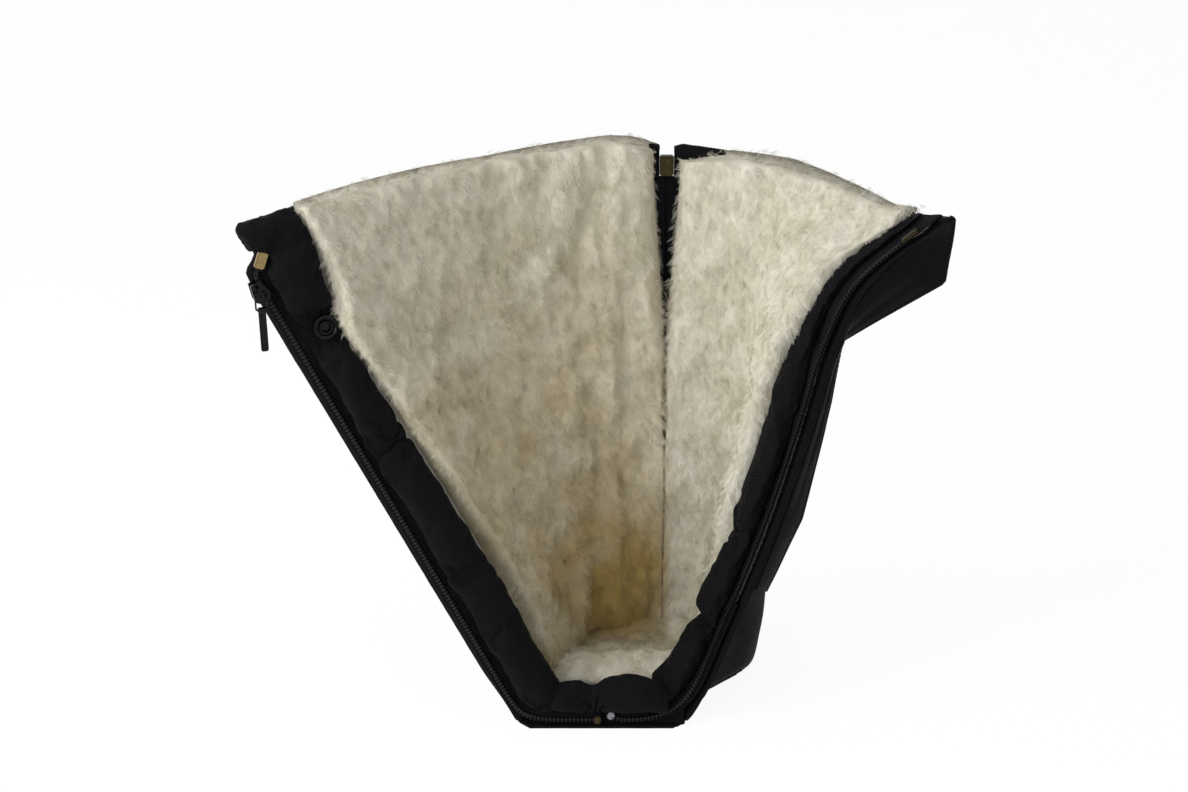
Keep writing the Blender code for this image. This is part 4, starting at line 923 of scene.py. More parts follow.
def scatter_tree():
    tree, given = new_tree("scatter_locks", ("Unit", "Object"), ("Density", "Float"),
                           ("Lean", "Float"), ("Droop", "Vector"), ("Seed", "Int"),
                           ("Material", "Material"))
    amount = maths(tree, "MULTIPLY", named_value(tree, "pile", "FLOAT"), given["Density"])
    dots = add_node(tree, "GeometryNodeDistributePointsOnFaces", {
        "Mesh": given["Geometry"], "Density": amount, "Seed": given["Seed"]})
    place = add_node(tree, "GeometryNodeInputPosition").outputs[0]
    flow = add_node(tree, "ShaderNodeTexNoise", {"Vector": place, "Scale": 42.0,
                                                 "Detail": 3.0}).outputs["Color"]
    flow = vector_maths(tree, "SUBTRACT", flow, (0.5, 0.5, 0.5))
    flow = vector_maths(tree, "SCALE", flow, Scale=given["Lean"])
    tilt = add_node(tree, "FunctionNodeRandomValue", {0: (-0.35,) * 3, 1: (0.35,) * 3},
                    data_type="FLOAT_VECTOR").outputs[0]
    turn = aimed(tree, vector_maths(tree, "ADD", tilt, dots.outputs["Normal"]),
                 vector_maths(tree, "ADD", flow, given["Droop"]))
    size = add_node(tree, "FunctionNodeRandomValue", {2: 0.65, 3: 1.15}, data_type="FLOAT")
    return set_units(tree, given, dots.outputs["Points"], turn, Scale=size.outputs[1])


SCATTER = scatter_tree()
for base, density, droop, rides in (("left_pile_body", 85500.0, (0, -0.1, -0.6), "left_half"),
                                    ("right_pile_body", 85500.0, (0, 0, -0.6), "right_half"),
                                    ("toe_pile_body", 81000.0, (0, -0.5, 0), None)):
    name = base.replace("body", "fibres")
    piece = run_tree(SCATTER, bpy.data.objects[base], name, Unit=LOCK, Density=density,
                     Lean=2.6, Droop=droop, Seed=11, Material=FIBRE)
    # The fibres carry the same painted shade as the pile under them
    float_attribute(piece, "warmth", warmth(points_of(piece)))
    if rides:
        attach(piece, rides)
    else:
        TOE_PIECES.append(name)
    tell(piece)
bpy.data.objects.remove(LOCK)

# %% [markdown]
# The facings are narrow pads: a strip of twill folded over a filler and sewn down both
# sides, so it stands up in a round roll and puckers where it is caught. Cloth simulation
# makes that. A rounded strip over the CAD form's width is remeshed small and blown up by
# pressure, while its sewn underside stays where it is. How far a point may move is capped.
# One subdivision then smooths it, and sewn creases go in after that.

# %% Puffed facings
PUFF_STEPS = 20


def creases(points, normal, centre, along, reach, count, depth):
    """Depth of short creases that fan out from a sewn spot."""
    away = points - centre
    run = away @ unit(along)
    side = away - np.outer(run, unit(along))
    turn = np.arctan2(run, np.linalg.norm(side, axis=1) + 1e-9)
    near = np.exp(-(np.linalg.norm(away, axis=1) / reach) ** 2)
    wave = 0.5 + 0.5 * np.cos(turn * count + 5 * rough(points, 0.02, 6.6))
    return -1.5 * depth * near * wave ** 3


def pad_points(place_at, stations, low, high, crown, ends=(0.0085, 0.72)):
    """Outer and inner rails of a rounded strip, drawn in at both of its ends."""
    turn = np.linspace(0, math.pi, 19)
    outer, inner = [], []
    for s in stations:
        end = min(1.0, min(s - stations[0], stations[-1] - s) / ends[0] + 0.02)
        round_off = math.sqrt(1 - (1 - end) ** 2)
        a, b, rise = low(s), high(s), crown(s) * (0.35 + 0.65 * round_off)
        middle, half = (a + b) / 2, (b - a) / 2 * lerp(ends[1], 1.0, round_off)
        middle -= ((b - a) / 2 - half) * (ends[1] < 0.7)
        across = middle - half * np.cos(turn) - 0.0017 * np.sin(2 * turn)
        lift = COIL_BASE + 0.0016 + rise * np.sin(turn) ** 0.62
        outer.append([place_at(s, x, h) for x, h in zip(across, lift)])
        flat = middle - half * np.cos(turn)
        inner.append([place_at(s, x, COIL_BASE) for x in flat])
    return outer, inner


def blown_up(piece, node, cap):
    """Cloth simulation under pressure, every point's motion capped in metres."""
    start, normal = points_of(piece), normals_of(piece)
    move_points(piece, start - normal * 0.0004)
    shut = piece.vertex_groups.new(name="sewn")
    shut.add([int(k) for k in sewn_points(node, start)], 1.0, "REPLACE")
    cloth = piece.modifiers.new("cloth", "CLOTH")
    setting = cloth.settings
    setting.quality, setting.mass, setting.vertex_group_mass = 6, 0.15, "sewn"
    setting.use_pressure, setting.uniform_pressure_force = True, 4.0
    setting.tension_stiffness = setting.compression_stiffness = 12.0
    setting.bending_stiffness, setting.shrink_min = 0.35, -0.06
    setting.effector_weights.gravity = 0.0
    cloth.collision_settings.use_collision = False
    cloth.point_cache.frame_start, cloth.point_cache.frame_end = 1, PUFF_STEPS
    for step in range(1, PUFF_STEPS + 1):
        bpy.context.scene.frame_set(step)
    plain_mesh(piece)
    bpy.context.scene.frame_set(1)
    moved = points_of(piece) - start
    far = np.linalg.norm(moved, axis=1)
    moved *= np.minimum(1.0, cap / np.maximum(far, 1e-9))[:, None]
    move_points(piece, start + moved)
    piece.vertex_groups.clear()
    print(piece.name, "moved up to", round(far.max() * 1000, 1), "mm, capped at", cap * 1000)


def puffed(node, name, pads, voxel, cap, spots):
    """Facing blown up from its pads, its motion capped, then creased at its spots."""
    made = [sheet_piece(f"{name}_{k}", *pad, FACING_TWILL, "black_twill")
            for k, pad in enumerate(pads)]
    bpy.ops.object.select_all(action="DESELECT")
    for part in made:
        part.select_set(True)
    bpy.context.view_layer.objects.active = piece = made[0]
    if len(made) > 1:
        bpy.ops.object.join()
    piece.name = name
    even = piece.modifiers.new("even", "REMESH")
    even.mode, even.voxel_size = "VOXEL", voxel
    plain_mesh(piece)
    blown_up(piece, node, cap)
    smooth = piece.modifiers.new("even", "SMOOTH")
    smooth.factor, smooth.iterations = 0.5, 2
    plain_mesh(piece)
    finer = piece.modifiers.new("finer", "SUBSURF")
    finer.levels = finer.render_levels = 1
    plain_mesh(piece)
    points, normal = points_of(piece), normals_of(piece)
    dip = 0.0002 * rough(points, 0.007, 2.7) + 0.0007 * rough(points, 0.022, 3.7)
    for centre, along, reach, count, depth in spots:
        dip += creases(points, normal, np.array(centre), along, reach, count, depth)
    move_points(piece, points + normal * dip[:, None])
    finish_piece(piece, FACING_TWILL, "black_twill")
    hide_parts(node)
    tell(piece)
    return piece

# %% [markdown]
# The front zip's line runs from the rim down each wall's edge, round the toe's corner and to
# the middle of the toe. Tapes, coils, stitches and the sewn side of the facings all follow
# it, so it is written once, as the walls were.

# %% The front edge line
TOE_LEAN = math.radians(20.0)
TOE_OUT = np.array([0.0, -math.cos(TOE_LEAN), math.sin(TOE_LEAN)])
TOE_INWARD = np.array([0.0, math.sin(TOE_LEAN), math.cos(TOE_LEAN)])
TOE_LINE_Y, TOE_CHAIN_Z = -0.0455, 0.0048
# Height where the turn starts, where it ends, the line's end, and its rise toward the middle
CORNERS = {"left": (0.034, -0.026, 0.0008, 0.0), "right": (0.066, 0.016, 0.0048, 0.0040)}
RIM_STEPS, TURN_STEPS = 90, 24


class Edge:
    """One chain's line. Offsets go across the tape, inward, and out of its face."""

    def __init__(self, side):
        self.wall = wall = WALLS[side]
        corner_z, corner_x, end_x, lift = CORNERS[side]
        self.levels = np.linspace(1.0, corner_z / wall.rim, RIM_STEPS)
        rim_part = [wall.row(level, CHAIN_INSET, TAPE_HEIGHT)[0] for level in self.levels]
        toe = np.array([corner_x, TOE_LINE_Y, TOE_CHAIN_Z])
        toe_run = np.array([-wall.sign, 0.0, 0.0])
        reach = 0.5 * np.linalg.norm(toe - rim_part[-1])
        turn_run = unit(rim_part[-1] - rim_part[-2])
        turn = bezier(rim_part[-1], rim_part[-1] + reach * turn_run, toe - reach * toe_run,
                      toe, np.linspace(0, 1, TURN_STEPS))
        toe_part = [toe + toe_run * abs(end_x - corner_x) * t + TOE_INWARD * lift * t * t
                    for t in np.linspace(0, 1, 10)]
        self.points = np.vstack([rim_part, turn[1:], toe_part[1:]])
        steps = np.linalg.norm(np.diff(self.points, axis=0), axis=1)
        self.length = np.concatenate([[0.0], np.cumsum(steps)])
        self.turn_start = self.length[RIM_STEPS - 1]
        self.turn_end = self.length[RIM_STEPS + TURN_STEPS - 2]
        self.total = self.length[-1]

    def place(self, s):
        return np.array([np.interp(s, self.length, self.points[:, k]) for k in range(3)])

    def frame(self, s):
        """Place, run, inward across the tape and out of its face."""
        run = unit(self.place(min(self.total, s + 0.002)) - self.place(max(0.0, s - 0.002)))
        turned = smooth_step(self.turn_start, self.turn_end, s)
        out = unit(np.cross(self.wall.lapel_line(self.level(s)), run)) * self.wall.sign
        out = lerp(out, TOE_OUT, turned)
        out = unit(out - run * float(out @ run))
        return self.place(s), run, np.cross(run, out) * self.wall.sign, out, turned

    def level(self, s):
        return float(np.interp(s, self.length[:RIM_STEPS], self.levels))

    def height(self, s):
        return self.level(s) * self.wall.rim

    def at(self, s, across, out_by):
        place, run, inward, out, turned = self.frame(s)
        level = self.level(s)
        line = self.wall.lapel_line(level)
        square = self.wall.sign * np.array([-line[1], line[0], 0.0])
        level_way = line * across / self.wall.steepness(level) + square * out_by
        return place + lerp(level_way, across * inward + out_by * out, turned)

    def length_at_z(self, z):
        return float(np.interp(-z, -self.points[:RIM_STEPS, 2], self.length[:RIM_STEPS]))


EDGES = {side: Edge(side) for side in WALLS}
for side, edge in EDGES.items():
    print(side, "zip line:", round(edge.total * 1000), "mm")

# %% Facings along the edges
SNAP_Z, SNAP_ACROSS = 0.2690, 0.0180
SNAP_S = EDGES["left"].length_at_z(SNAP_Z)
SNAP_FOOT = EDGES["left"].at(SNAP_S, SNAP_ACROSS, 0.0)
SNAP_OUT = EDGES["left"].frame(SNAP_S)[3]


def sewn_points(node, points):
    """Points of a facing that its seams hold: its underside, sides and ends."""
    if node == "toe_facing":
        foot = np.array([0.0, TOE_LINE_Y, TOE_CHAIN_Z])
        height = (points - foot) @ TOE_OUT
        ends = (points[:, 0] < -0.027) | (points[:, 0] > 0.030)
        return np.nonzero((height < COIL_BASE + 0.0012) | ends)[0]
    edge = EDGES[node.split("_")[0]]
    lines = np.linspace(0.0, edge.total, 240)
    feet = np.array([edge.at(s, 0.0, 0.0) for s in lines])
    outs = np.array([edge.frame(s)[3] for s in lines])
    held = []
    for k, point in enumerate(points):
        j = int(np.argmin(((feet - point) ** 2).sum(1)))
        height = float((point - feet[j]) @ outs[j])
        snapped = node == "left_facing" and np.linalg.norm(point - SNAP_FOOT) < 0.009
        if height < COIL_BASE + 0.0014 or snapped:
            held.append(k)
    return np.array(held)


left, right = EDGES["left"], EDGES["right"]


def crossing(edge, z, across, reach, count, depth):
    s = edge.length_at_z(z)
    return edge.at(s, across, 0.006), edge.frame(s)[1], reach, count, depth


# Heights of the creases sewn across each facing, the deepest one first
LEFT_CREASE_Z, RIGHT_CREASE_Z = (0.196, 0.110, 0.318), (0.128, 0.062, 0.215)
LEFT_SPOTS = [(SNAP_FOOT + 0.003 * SNAP_OUT, left.frame(SNAP_S)[1], 0.015, 9, 0.0013),
              crossing(left, LEFT_CREASE_Z[0], 0.020, 0.020, 5, 0.0016),
              crossing(left, LEFT_CREASE_Z[1], 0.012, 0.014, 4, 0.0007),
              crossing(left, LEFT_CREASE_Z[2], 0.010, 0.012, 4, 0.0006)]
RIGHT_SPOTS = [crossing(right, RIGHT_CREASE_Z[0], 0.020, 0.018, 5, 0.0020),
               crossing(right, RIGHT_CREASE_Z[1], 0.012, 0.018, 6, 0.0016),
               crossing(right, RIGHT_CREASE_Z[2], 0.014, 0.013, 4, 0.0009)]
TOE_SPOTS = [((-0.0025, -0.049, 0.016), (1, 0, 0), 0.010, 6, 0.0016),
             ((-0.027, -0.047, 0.014), (1, 0, 0), 0.008, 4, 0.0010),
             ((0.029, -0.047, 0.014), (1, 0, 0), 0.008, 4, 0.0010)]


def along_edge(edge):
    """Place on an edge line, run on straight beyond its start."""
    def place_at(s, across, out_by):
        beyond = min(0.0, s)
        return edge.at(s - beyond, across, out_by) + beyond * edge.frame(0.0)[1]
    return place_at


def eased(edge, zs, values, dips):
    """Function of length: a size read by height, lowered at each dip."""
    def size(s):
        value = float(np.interp(edge.height(s), zs, values))
        for where, flat, half, kept in dips:
            value *= lerp(kept, 1.0, smooth_step(flat, half, abs(s - where)))
        return value
    return size


BOX_Z = 0.3145
BOX_S = left.length_at_z(BOX_Z)
left_crown = eased(left, (0.04, 0.19, 0.27, 0.3325), (0.0108, 0.0104, 0.0100, 0.0088),
                   [(SNAP_S, 0.0088, 0.021, 0.10),
                    (left.length_at_z(LEFT_CREASE_Z[0]), 0, 0.020, 0.62),
                    (left.length_at_z(LEFT_CREASE_Z[1]), 0, 0.013, 0.88)])
right_crown = eased(right, (0.13, 0.23, 0.262, 0.300, 0.346),
                    (0.0128, 0.0112, 0.0080, 0.0062, 0.0060),
                    [(right.length_at_z(RIGHT_CREASE_Z[0]), 0, 0.018, 0.62),
                     (right.length_at_z(RIGHT_CREASE_Z[1]), 0, 0.012, 0.30)])


def left_low(s):
    """Over the shell's corner above the box, close beside the box, then beside the chain."""
    corner = smooth_step(BOX_S - 0.0052, BOX_S - 0.0078, s)
    beside = lerp(0.0040, 0.0056, smooth_step(BOX_S + 0.006, BOX_S + 0.012, s))
    return lerp(beside, -0.0062, corner)


def left_high(s):
    return FACING_START + left.wall.facing_width(left.level(s)) + 0.0016


def right_low(s):
    return lerp(0.0090, 0.0056, smooth_step(0.262, 0.235, right.height(s)))


def right_high(s):
    toe = smooth_step(0.070, 0.030, right.height(s))
    top = smooth_step(0.262, 0.300, right.height(s))
    return (FACING_START + right.wall.facing_width(right.level(s)) + 0.0014 + 0.003 * toe
            + 0.0020 * top)


def toe_place(x, across, out_by):
    return np.array([x, TOE_LINE_Y, TOE_CHAIN_Z]) + across * TOE_INWARD + out_by * TOE_OUT


left_pad = pad_points(along_edge(left), np.arange(-0.0062, left.turn_end - 0.021, 0.0012),
                      left_low, left_high, left_crown)
right_pad = pad_points(along_edge(right), np.arange(-0.0030, right.turn_end - 0.024, 0.0012),
                       right_low, right_high, right_crown)
toe_pads = [pad_points(toe_place, np.arange(first, last, 0.0012), lambda x: 0.0058,
                       lambda x, w=wide: w, lambda x, h=high: h, (0.0230, 0.30))
            for first, last, wide, high in ((-0.0370, 0.0045, 0.0250, 0.0092),
                                            (-0.0085, 0.0430, 0.0285, 0.0112))]
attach(puffed("left_facing", "left_facing_roll", [left_pad], 0.0016, 0.0022, LEFT_SPOTS),
        "left_half")
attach(puffed("right_facing", "right_facing_roll", [right_pad], 0.0016, 0.0022,
               RIGHT_SPOTS), "right_half")
puffed("toe_facing", "toe_facing_roll", toe_pads, 0.0013, 0.0016, TOE_SPOTS)
TOE_PIECES.append("toe_facing_roll")

# %% [markdown]
# Each zip tape is a woven ribbon 15.2 mm wide and under 1 mm thick. It is a fine closed grid
# along the zip line with a slight wave, since a sewn tape never lies quite flat.

# %% Front tapes


def ribbon(edge, low, high, step=0.002):
    """Two grids of points, the faces of a tape along the whole zip line."""
    outer, inner = [], []
    across = np.linspace(low, high, 8)
    for s in np.arange(0.0, edge.total + step / 2, step):
        s = min(s, edge.total)
        wave = 0.00022 * math.sin(s * 410) + 0.00015 * math.sin(s * 153 + 1)
        outer.append([edge.at(s, a, TAPE_T + wave * (a > COIL_WIDTH)) for a in across])
        inner.append([edge.at(s, a, wave * (a > COIL_WIDTH)) for a in across])
    return outer, inner


for side, edge in EDGES.items():
    piece = sheet_piece(f"{side}_tape_ribbon", *ribbon(edge, -0.0012, 0.0140), TAPE,
                        "zip_tape_cloth")
    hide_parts(f"{side}_zip_tape")
    TOE_PIECES.append(piece.name)
    tell(piece)

# %% [markdown]
# Behind the tapes the shell's hem turns round the toe's corners, so no wadding shows there.

# %% Hems of the toe


def toe_hem(name, place_at, lengths, across, depths):
    """Strip of twill along a line, between two depths behind it."""
    faces = [[[place_at(s, a, depth) for a in across] for s in lengths] for depth in depths]
    piece = sheet_piece(name, *faces, BLACK_TWILL, "black_twill")
    TOE_PIECES.append(piece.name)
    tell(piece)


for side, edge in EDGES.items():
    toe_hem(f"{side}_toe_hem", edge.at, np.arange(edge.turn_start - 0.020, edge.total, 0.002),
            np.linspace(-0.0030, 0.0165, 8), (-0.0003, -0.0011))
toe_hem("toe_front_hem", toe_place, np.linspace(-0.0340, 0.0520, 60),
        np.linspace(-0.0034, 0.0165, 9), (-0.0013, -0.0023))

# %% [markdown]
# A coil zip's chain is one nylon filament wound in a flat spiral round a cord and sewn to the
# tape. From the front each turn shows as a short bar that ends in a round head. One turn is
# modelled, and Geometry Nodes repeat it along the line. The real turns are about 1.3 mm
# apart; they are drawn 2.4 mm apart, as coarse as the beads that the picture shows. The
# same tree later sets stitches, so it takes the unit, the spacing and the line as inputs.

# %% A unit of turned form


def spindle(name, stations, sides, flat=1.0):
    """Closed unit turned about X through (place, radius) stations."""
    def place(x, r, a):
        return x, r * math.cos(a), flat * r * math.sin(a)
    made = mesh_object(name, *turned_form(stations, sides, place))
    made.hide_render = True
    return made


TURN = spindle("coil_turn", [(-0.0016, 0), (-0.0015, 0.0006), (-0.0010, 0.0009),
                             (-0.0004, 0.00075), (0.0010, 0.00065), (0.0015, 0.0004),
                             (0.0016, 0)], 8, 1.1)
STITCH = spindle("stitch", [(-0.0013, 0), (-0.0011, 0.00018), (0.0, 0.00024),
                            (0.0011, 0.00018), (0.0013, 0)], 6)
print("unit sizes:", triangles(TURN), triangles(STITCH), "triangles")

# %% Units along a line


# A direction that no line or axis here has, to start a cross product from
ANY_SIDE = (0.31, 0.17, 0.94)


def line_object(name, points, outs):
    """Polyline with the direction out of the cloth at each point."""
    links = [(k, k + 1) for k in range(len(points) - 1)]
    made = mesh_object(name, points, [], links, closed=False)
    layer = made.data.attributes.new("out", "FLOAT_VECTOR", "POINT")
    layer.data.foreach_set("vector", np.asarray(outs, np.float32).ravel())
    return made


def row_tree():
    """Units set at a spacing along a line, X turned by a quarter if Across is 1."""
    tree, given = new_tree("row_of_units", ("Unit", "Object"), ("Spacing", "Float"),
                           ("Across", "Float"), ("Material", "Material"))
    line = add_node(tree, "GeometryNodeMeshToCurve", {"Mesh": given["Geometry"]})
    even = add_node(tree, "GeometryNodeResampleCurve", {"Curve": line.outputs[0],
                                                        "Length": given["Spacing"]},
                    mode="LENGTH")
    aim = aimed(tree, named_value(tree, "out", "FLOAT_VECTOR"),
                add_node(tree, "GeometryNodeInputTangent").outputs[0])
    quarter = maths(tree, "MULTIPLY", given["Across"], math.pi / 2)
    turn = add_node(tree, "FunctionNodeAxisAngleToRotation", {"Axis": (0, 0, 1),
                                                              "Angle": quarter})
    both = add_node(tree, "FunctionNodeRotateRotation", {0: aim, 1: turn.outputs[0]},
                    rotation_space="LOCAL")
    return set_units(tree, given, even.outputs[0], both.outputs[0])


ROW = row_tree()


def row_of(name, unit_object, points, outs, spacing, across, finish):
    base = line_object(f"{name}_line", points, outs)
    piece = run_tree(ROW, base, name, Unit=unit_object, Spacing=spacing,
                     Across=float(across), Material=finish)
    bpy.data.objects.remove(base)
    return piece


def joined(name, first, *others):
    """One mesh object out of several."""
    meshes = [first, *others]
    shape = bmesh.new()
    for item in meshes:
        shape.from_mesh(item.data)
    shape.to_mesh(first.data)
    shape.free()
    for item in others:
        bpy.data.objects.remove(item)
    first.name = name
    return first


def tube(name, points, radius, finish, sides=6):
    """Round cord along points."""
    points = np.asarray(points, float)
    run = np.gradient(points, axis=0)
    run /= np.linalg.norm(run, axis=1)[:, None]
    side = np.cross(run, ANY_SIDE)
    side /= np.linalg.norm(side, axis=1)[:, None]
    up = np.cross(run, side)
    turn = np.linspace(0, 2 * math.pi, sides, endpoint=False)
    rings = (points[:, None] + radius * (np.cos(turn)[None, :, None] * side[:, None]
                                         + np.sin(turn)[None, :, None] * up[:, None]))
    return ring_piece(name, rings, finish)


def line_on(edge, start, end, across, out_by, step=0.002):
    spans = np.linspace(start, end, max(2, int((end - start) / step)))
    return ([edge.at(s, across, out_by) for s in spans],
            [edge.frame(s)[3] for s in spans])


TURN_APART = 0.0024
CHAIN_START = {"left": BOX_S + 0.006, "right": 0.0263}
for side, edge in EDGES.items():
    end = edge.total - 0.0046
    points, outs = line_on(edge, CHAIN_START[side], end, 0.0, COIL_BASE + COIL_T * 0.55)
    turns = row_of(f"{side}_turns", TURN, points, outs, TURN_APART,
                   1 if side == "right" else -1, COIL)
    core = tube(f"{side}_core", line_on(edge, CHAIN_START[side], end, 0.0002,
                                        COIL_BASE + 0.0007)[0], 0.0007, COIL)
    piece = joined(f"{side}_coil_chain", turns, core)
    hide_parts(f"{side}_zip_coil")
    TOE_PIECES.append(piece.name)
    tell(piece)

# %% [markdown]
# A storm flap is sewn along the right edge and folds out over the zip. It is a double piece
# of twill with a turned hem along its free side, so it is a little thicker there, and a long
# soft fold runs down its middle.

# %% Storm flap
FLAP_T, FLAP_INSET, FLAP_BOW = 0.0026, 0.0035, 0.06
FLAP_ROWS, FLAP_COLUMNS = 130, 30
FLAP_SEAM_Z = (0.3372, 0.3085, 0.273, 0.223, 0.178, 0.137, 0.094)
FLAP_FREE = ((0.2013, 0.1977, 0.1391, 0.1348, 0.1284, 0.1212, 0.1010),
             (-0.050, -0.044, -0.037, -0.033, -0.029, -0.026, -0.024),
             (0.3406, 0.2956, 0.2557, 0.2158, 0.1745, 0.1344, 0.0830))


def flap_row(share):
    """Points from the flap's seam to its free side, at a share of its length."""
    knots = np.linspace(0.0, 1.0, len(FLAP_SEAM_Z))
    seam_z = float(np.interp(share, knots, FLAP_SEAM_Z))
    seam = right.wall.row(seam_z / right.wall.rim, FLAP_INSET, -(FLAP_T / 2 + GAP))[0]
    free = np.array([np.interp(share, knots, values) for values in FLAP_FREE])
    bow = FLAP_BOW * np.linalg.norm(free - seam) * np.array([0.6, -0.8, 0.0])
    # The free corner at the top is cut round
    width = 0.76 + 0.24 * math.sqrt(1 - max(0.0, 1 - share / 0.075) ** 2)
    return [seam + (free - seam) * t + bow * math.sin(math.pi * t)
            for t in np.linspace(0.0, width, FLAP_COLUMNS)]


middle = np.array([flap_row(share) for share in np.linspace(0.0, 1.0, FLAP_ROWS)])
normal = grid_normals(middle)
across = np.linspace(0, 1, FLAP_COLUMNS)[None, :]
along = np.linspace(0, 1, FLAP_ROWS)[:, None]
fold = -0.0016 * np.exp(-((across - 0.42 - 0.1 * np.sin(along * 5)) / 0.13) ** 2)
fold = fold * np.sin(math.pi * np.clip(along * 1.2, 0, 1)) + 0.0006 * rough(middle, 0.03, 9.2)
hem = 0.0005 * np.exp(-((across - 0.93) / 0.05) ** 2)
middle = middle + normal * (fold * np.sin(math.pi * across) ** 0.5)[:, :, None]
side_near = np.sqrt(np.clip(np.minimum(across, 1 - across) / 0.03, 0, 1))
half = (FLAP_T / 2 * (0.25 + 0.75 * side_near) + hem)[:, :, None]
FLAP_FACE = middle + normal * half
flap = sheet_piece("storm_flap_cloth", FLAP_FACE, middle - normal * half, BLACK_TWILL,
                   "black_twill")
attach(flap, "right_half")
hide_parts("storm_flap")
tell(flap)

# %% [markdown]
# A strip of twill folded over the top closes each wall between its shell and its pile, and
# swells into a lobe beside the rear seam. It is a ring of points swept along the wall map.

# %% Rim binding
for side, wall in WALLS.items():
    rows = []
    insets = np.linspace(0.0100, wall.width(1.0) - 0.0044, 120)
    # Beside the rear seam it swells into a round lobe, the larger one on the right
    to_seam = wall.width(1.0) - insets
    lobe = np.exp(-((to_seam - 0.0130) / 0.0085) ** 2) * (1.0 if side == "right" else 0.5)
    size = (1 + lobe) * np.sqrt(np.clip((to_seam - 0.0040) / 0.0060, 0.01, 1))
    for turn in np.linspace(0, 2 * math.pi, 12, endpoint=False):
        depth = 0.0038 + 0.0036 * (1 + 0.4 * lobe) * math.cos(turn)
        line = wall.row(1.0, insets, depth)
        sag = np.interp(line[:, 0], *RIM_SAGS[side])
        line[:, 2] += -0.0014 - sag - 0.0035 * lobe + 0.0032 * size * math.sin(turn)
        rows.append(line)
    rings = np.array(rows).transpose(1, 0, 2)
    rings += (0.00018 * rough(rings, 0.006, 4.0))[:, :, None] * np.array([0, 0, 1.0])
    piece = ring_piece(f"{side}_rim_binding", rings, BLACK_TWILL, "black_twill")
    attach(piece, f"{side}_half")
    tell(piece)

# %% [markdown]
# Lockstitch in black thread holds it together. Stitches are about 2.5 mm long. They run
# beside the coil and along the inner side of each tape, down the turned front edge of each
# shell, below the rim binding, beside the rear seam, and along the hem of the flap.

# %% Stitching
STITCH_APART, TAPE_ROWS, UNDER_RIM, HEM_COLUMN = 0.0034, (0.0026, 0.0072), 0.955, 26


def stitches(name, points, outs):
    """Row of stitches along points, facing out of the cloth."""
    return row_of(name, STITCH, points, outs, STITCH_APART, 0, THREAD)


for side, edge in EDGES.items():
    rows = [line_on(edge, 0.004, edge.total - 0.002, across, TAPE_T + 0.0001)
            for across in TAPE_ROWS]
    piece = joined(f"{side}_tape_stitches",
                   *[stitches(f"{side}_row_{k}", *row) for k, row in enumerate(rows)])
    TOE_PIECES.append(piece.name)
    wall = WALLS[side]
    levels = np.linspace(0.06, 0.985, 150)
    front = [wall.row(level, 0.0115, -0.0001)[0] for level in levels]
    below = wall.row(UNDER_RIM, np.linspace(0.014, wall.width(UNDER_RIM) - 0.012, 160), -0.0016)
    rear = [wall.row(level, wall.width(level) - 0.0105, -0.0001)[0] for level in levels]
    made = []
    for k, line in enumerate((np.array(front), below, np.array(rear))):
        run = np.gradient(line, axis=0)
        outs = np.cross(run, [0, 0, 1.0]) if k == 1 else np.tile([0, -1.0, 0], (len(line), 1))
        made.append(stitches(f"{side}_shell_row_{k}", line, outs))
    piece = joined(f"{side}_shell_stitches", *made)
    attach(piece, f"{side}_half")
    tell(piece)
flap_out = normal[3:-3, HEM_COLUMN]
sewn_hem = stitches("flap_stitches", FLAP_FACE[3:-3, HEM_COLUMN] + flap_out * 0.00005, flap_out)
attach(sewn_hem, "right_half")

# %% [markdown]
# The snap on the left facing is a pressed cap: a rolled rim, a dished ring and a raised
# centre with a dimple, black and glossy. It is turned from a profile about its own axis.

# %% Snap socket


def turned_piece(name, profile, centre, axis, finish, slot):
    """Closed solid of revolution through (radius, height) points, with 48 sides."""
    axis = unit(axis)
    side = unit(np.cross(axis, ANY_SIDE))
    up = np.cross(axis, side)

    def place(h, r, a):
        return centre + axis * h + r * (math.cos(a) * side + math.sin(a) * up)

    stations = [(h, r) for r, h in profile]
    piece = add_piece(name, *turned_form(stations, 48, place), finish, slot)
    piece.data.set_sharp_from_angle(angle=math.radians(35))
    return piece


# The cap sits on the dipped facing, whose crown is a tenth of its full height there
SNAP_SEAT = SNAP_FOOT + (COIL_BASE + 0.0016 + 0.10 * 0.0086 + GAP) * SNAP_OUT
cap = turned_piece(
    "snap_socket_cap",
    [(0, 0), (0.0066, 0), (0.0074, 0.0003), (0.0075, 0.0012), (0.0071, 0.0020),
     (0.0062, 0.0023), (0.0054, 0.0019), (0.0049, 0.0009), (0.0044, 0.0009), (0.0041, 0.0022),
     (0.0037, 0.0028), (0.0030, 0.0028), (0.0026, 0.0020), (0.0022, 0.0012), (0.0010, 0.0014),
     (0, 0.0015)],
    SNAP_SEAT, SNAP_OUT, BLACK_ENAMEL, "black_nickel")
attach(cap, "left_half")
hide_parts("snap_socket")
tell(cap)

# %% [markdown]
# The rear zip closes the slit between the two walls. Its tapes are ribbons and its closed
# chain is two rows of coil turns that mesh, so the same tree sets both rows, half a turn
# apart. Its slider waits at the foot. Hems close the slit below the tapes and above them.

# %% Rear zip
REAR_Y = SEAM_Y - SHELL_T - 0.0012 - TAPE_T
REAR_TOP = 0.3290 - 0.0125 / 2 - GAP


def rear_strip(name, columns, zs, wave, finish, slot):
    """Upright strip as thick as a tape, with a wave of a given height along it."""
    faces = [[[(x, y + wave * math.sin(z * 300), z) for x in columns] for z in zs]
             for y in (REAR_Y, REAR_Y + TAPE_T)]
    return sheet_piece(name, *faces, finish, slot)


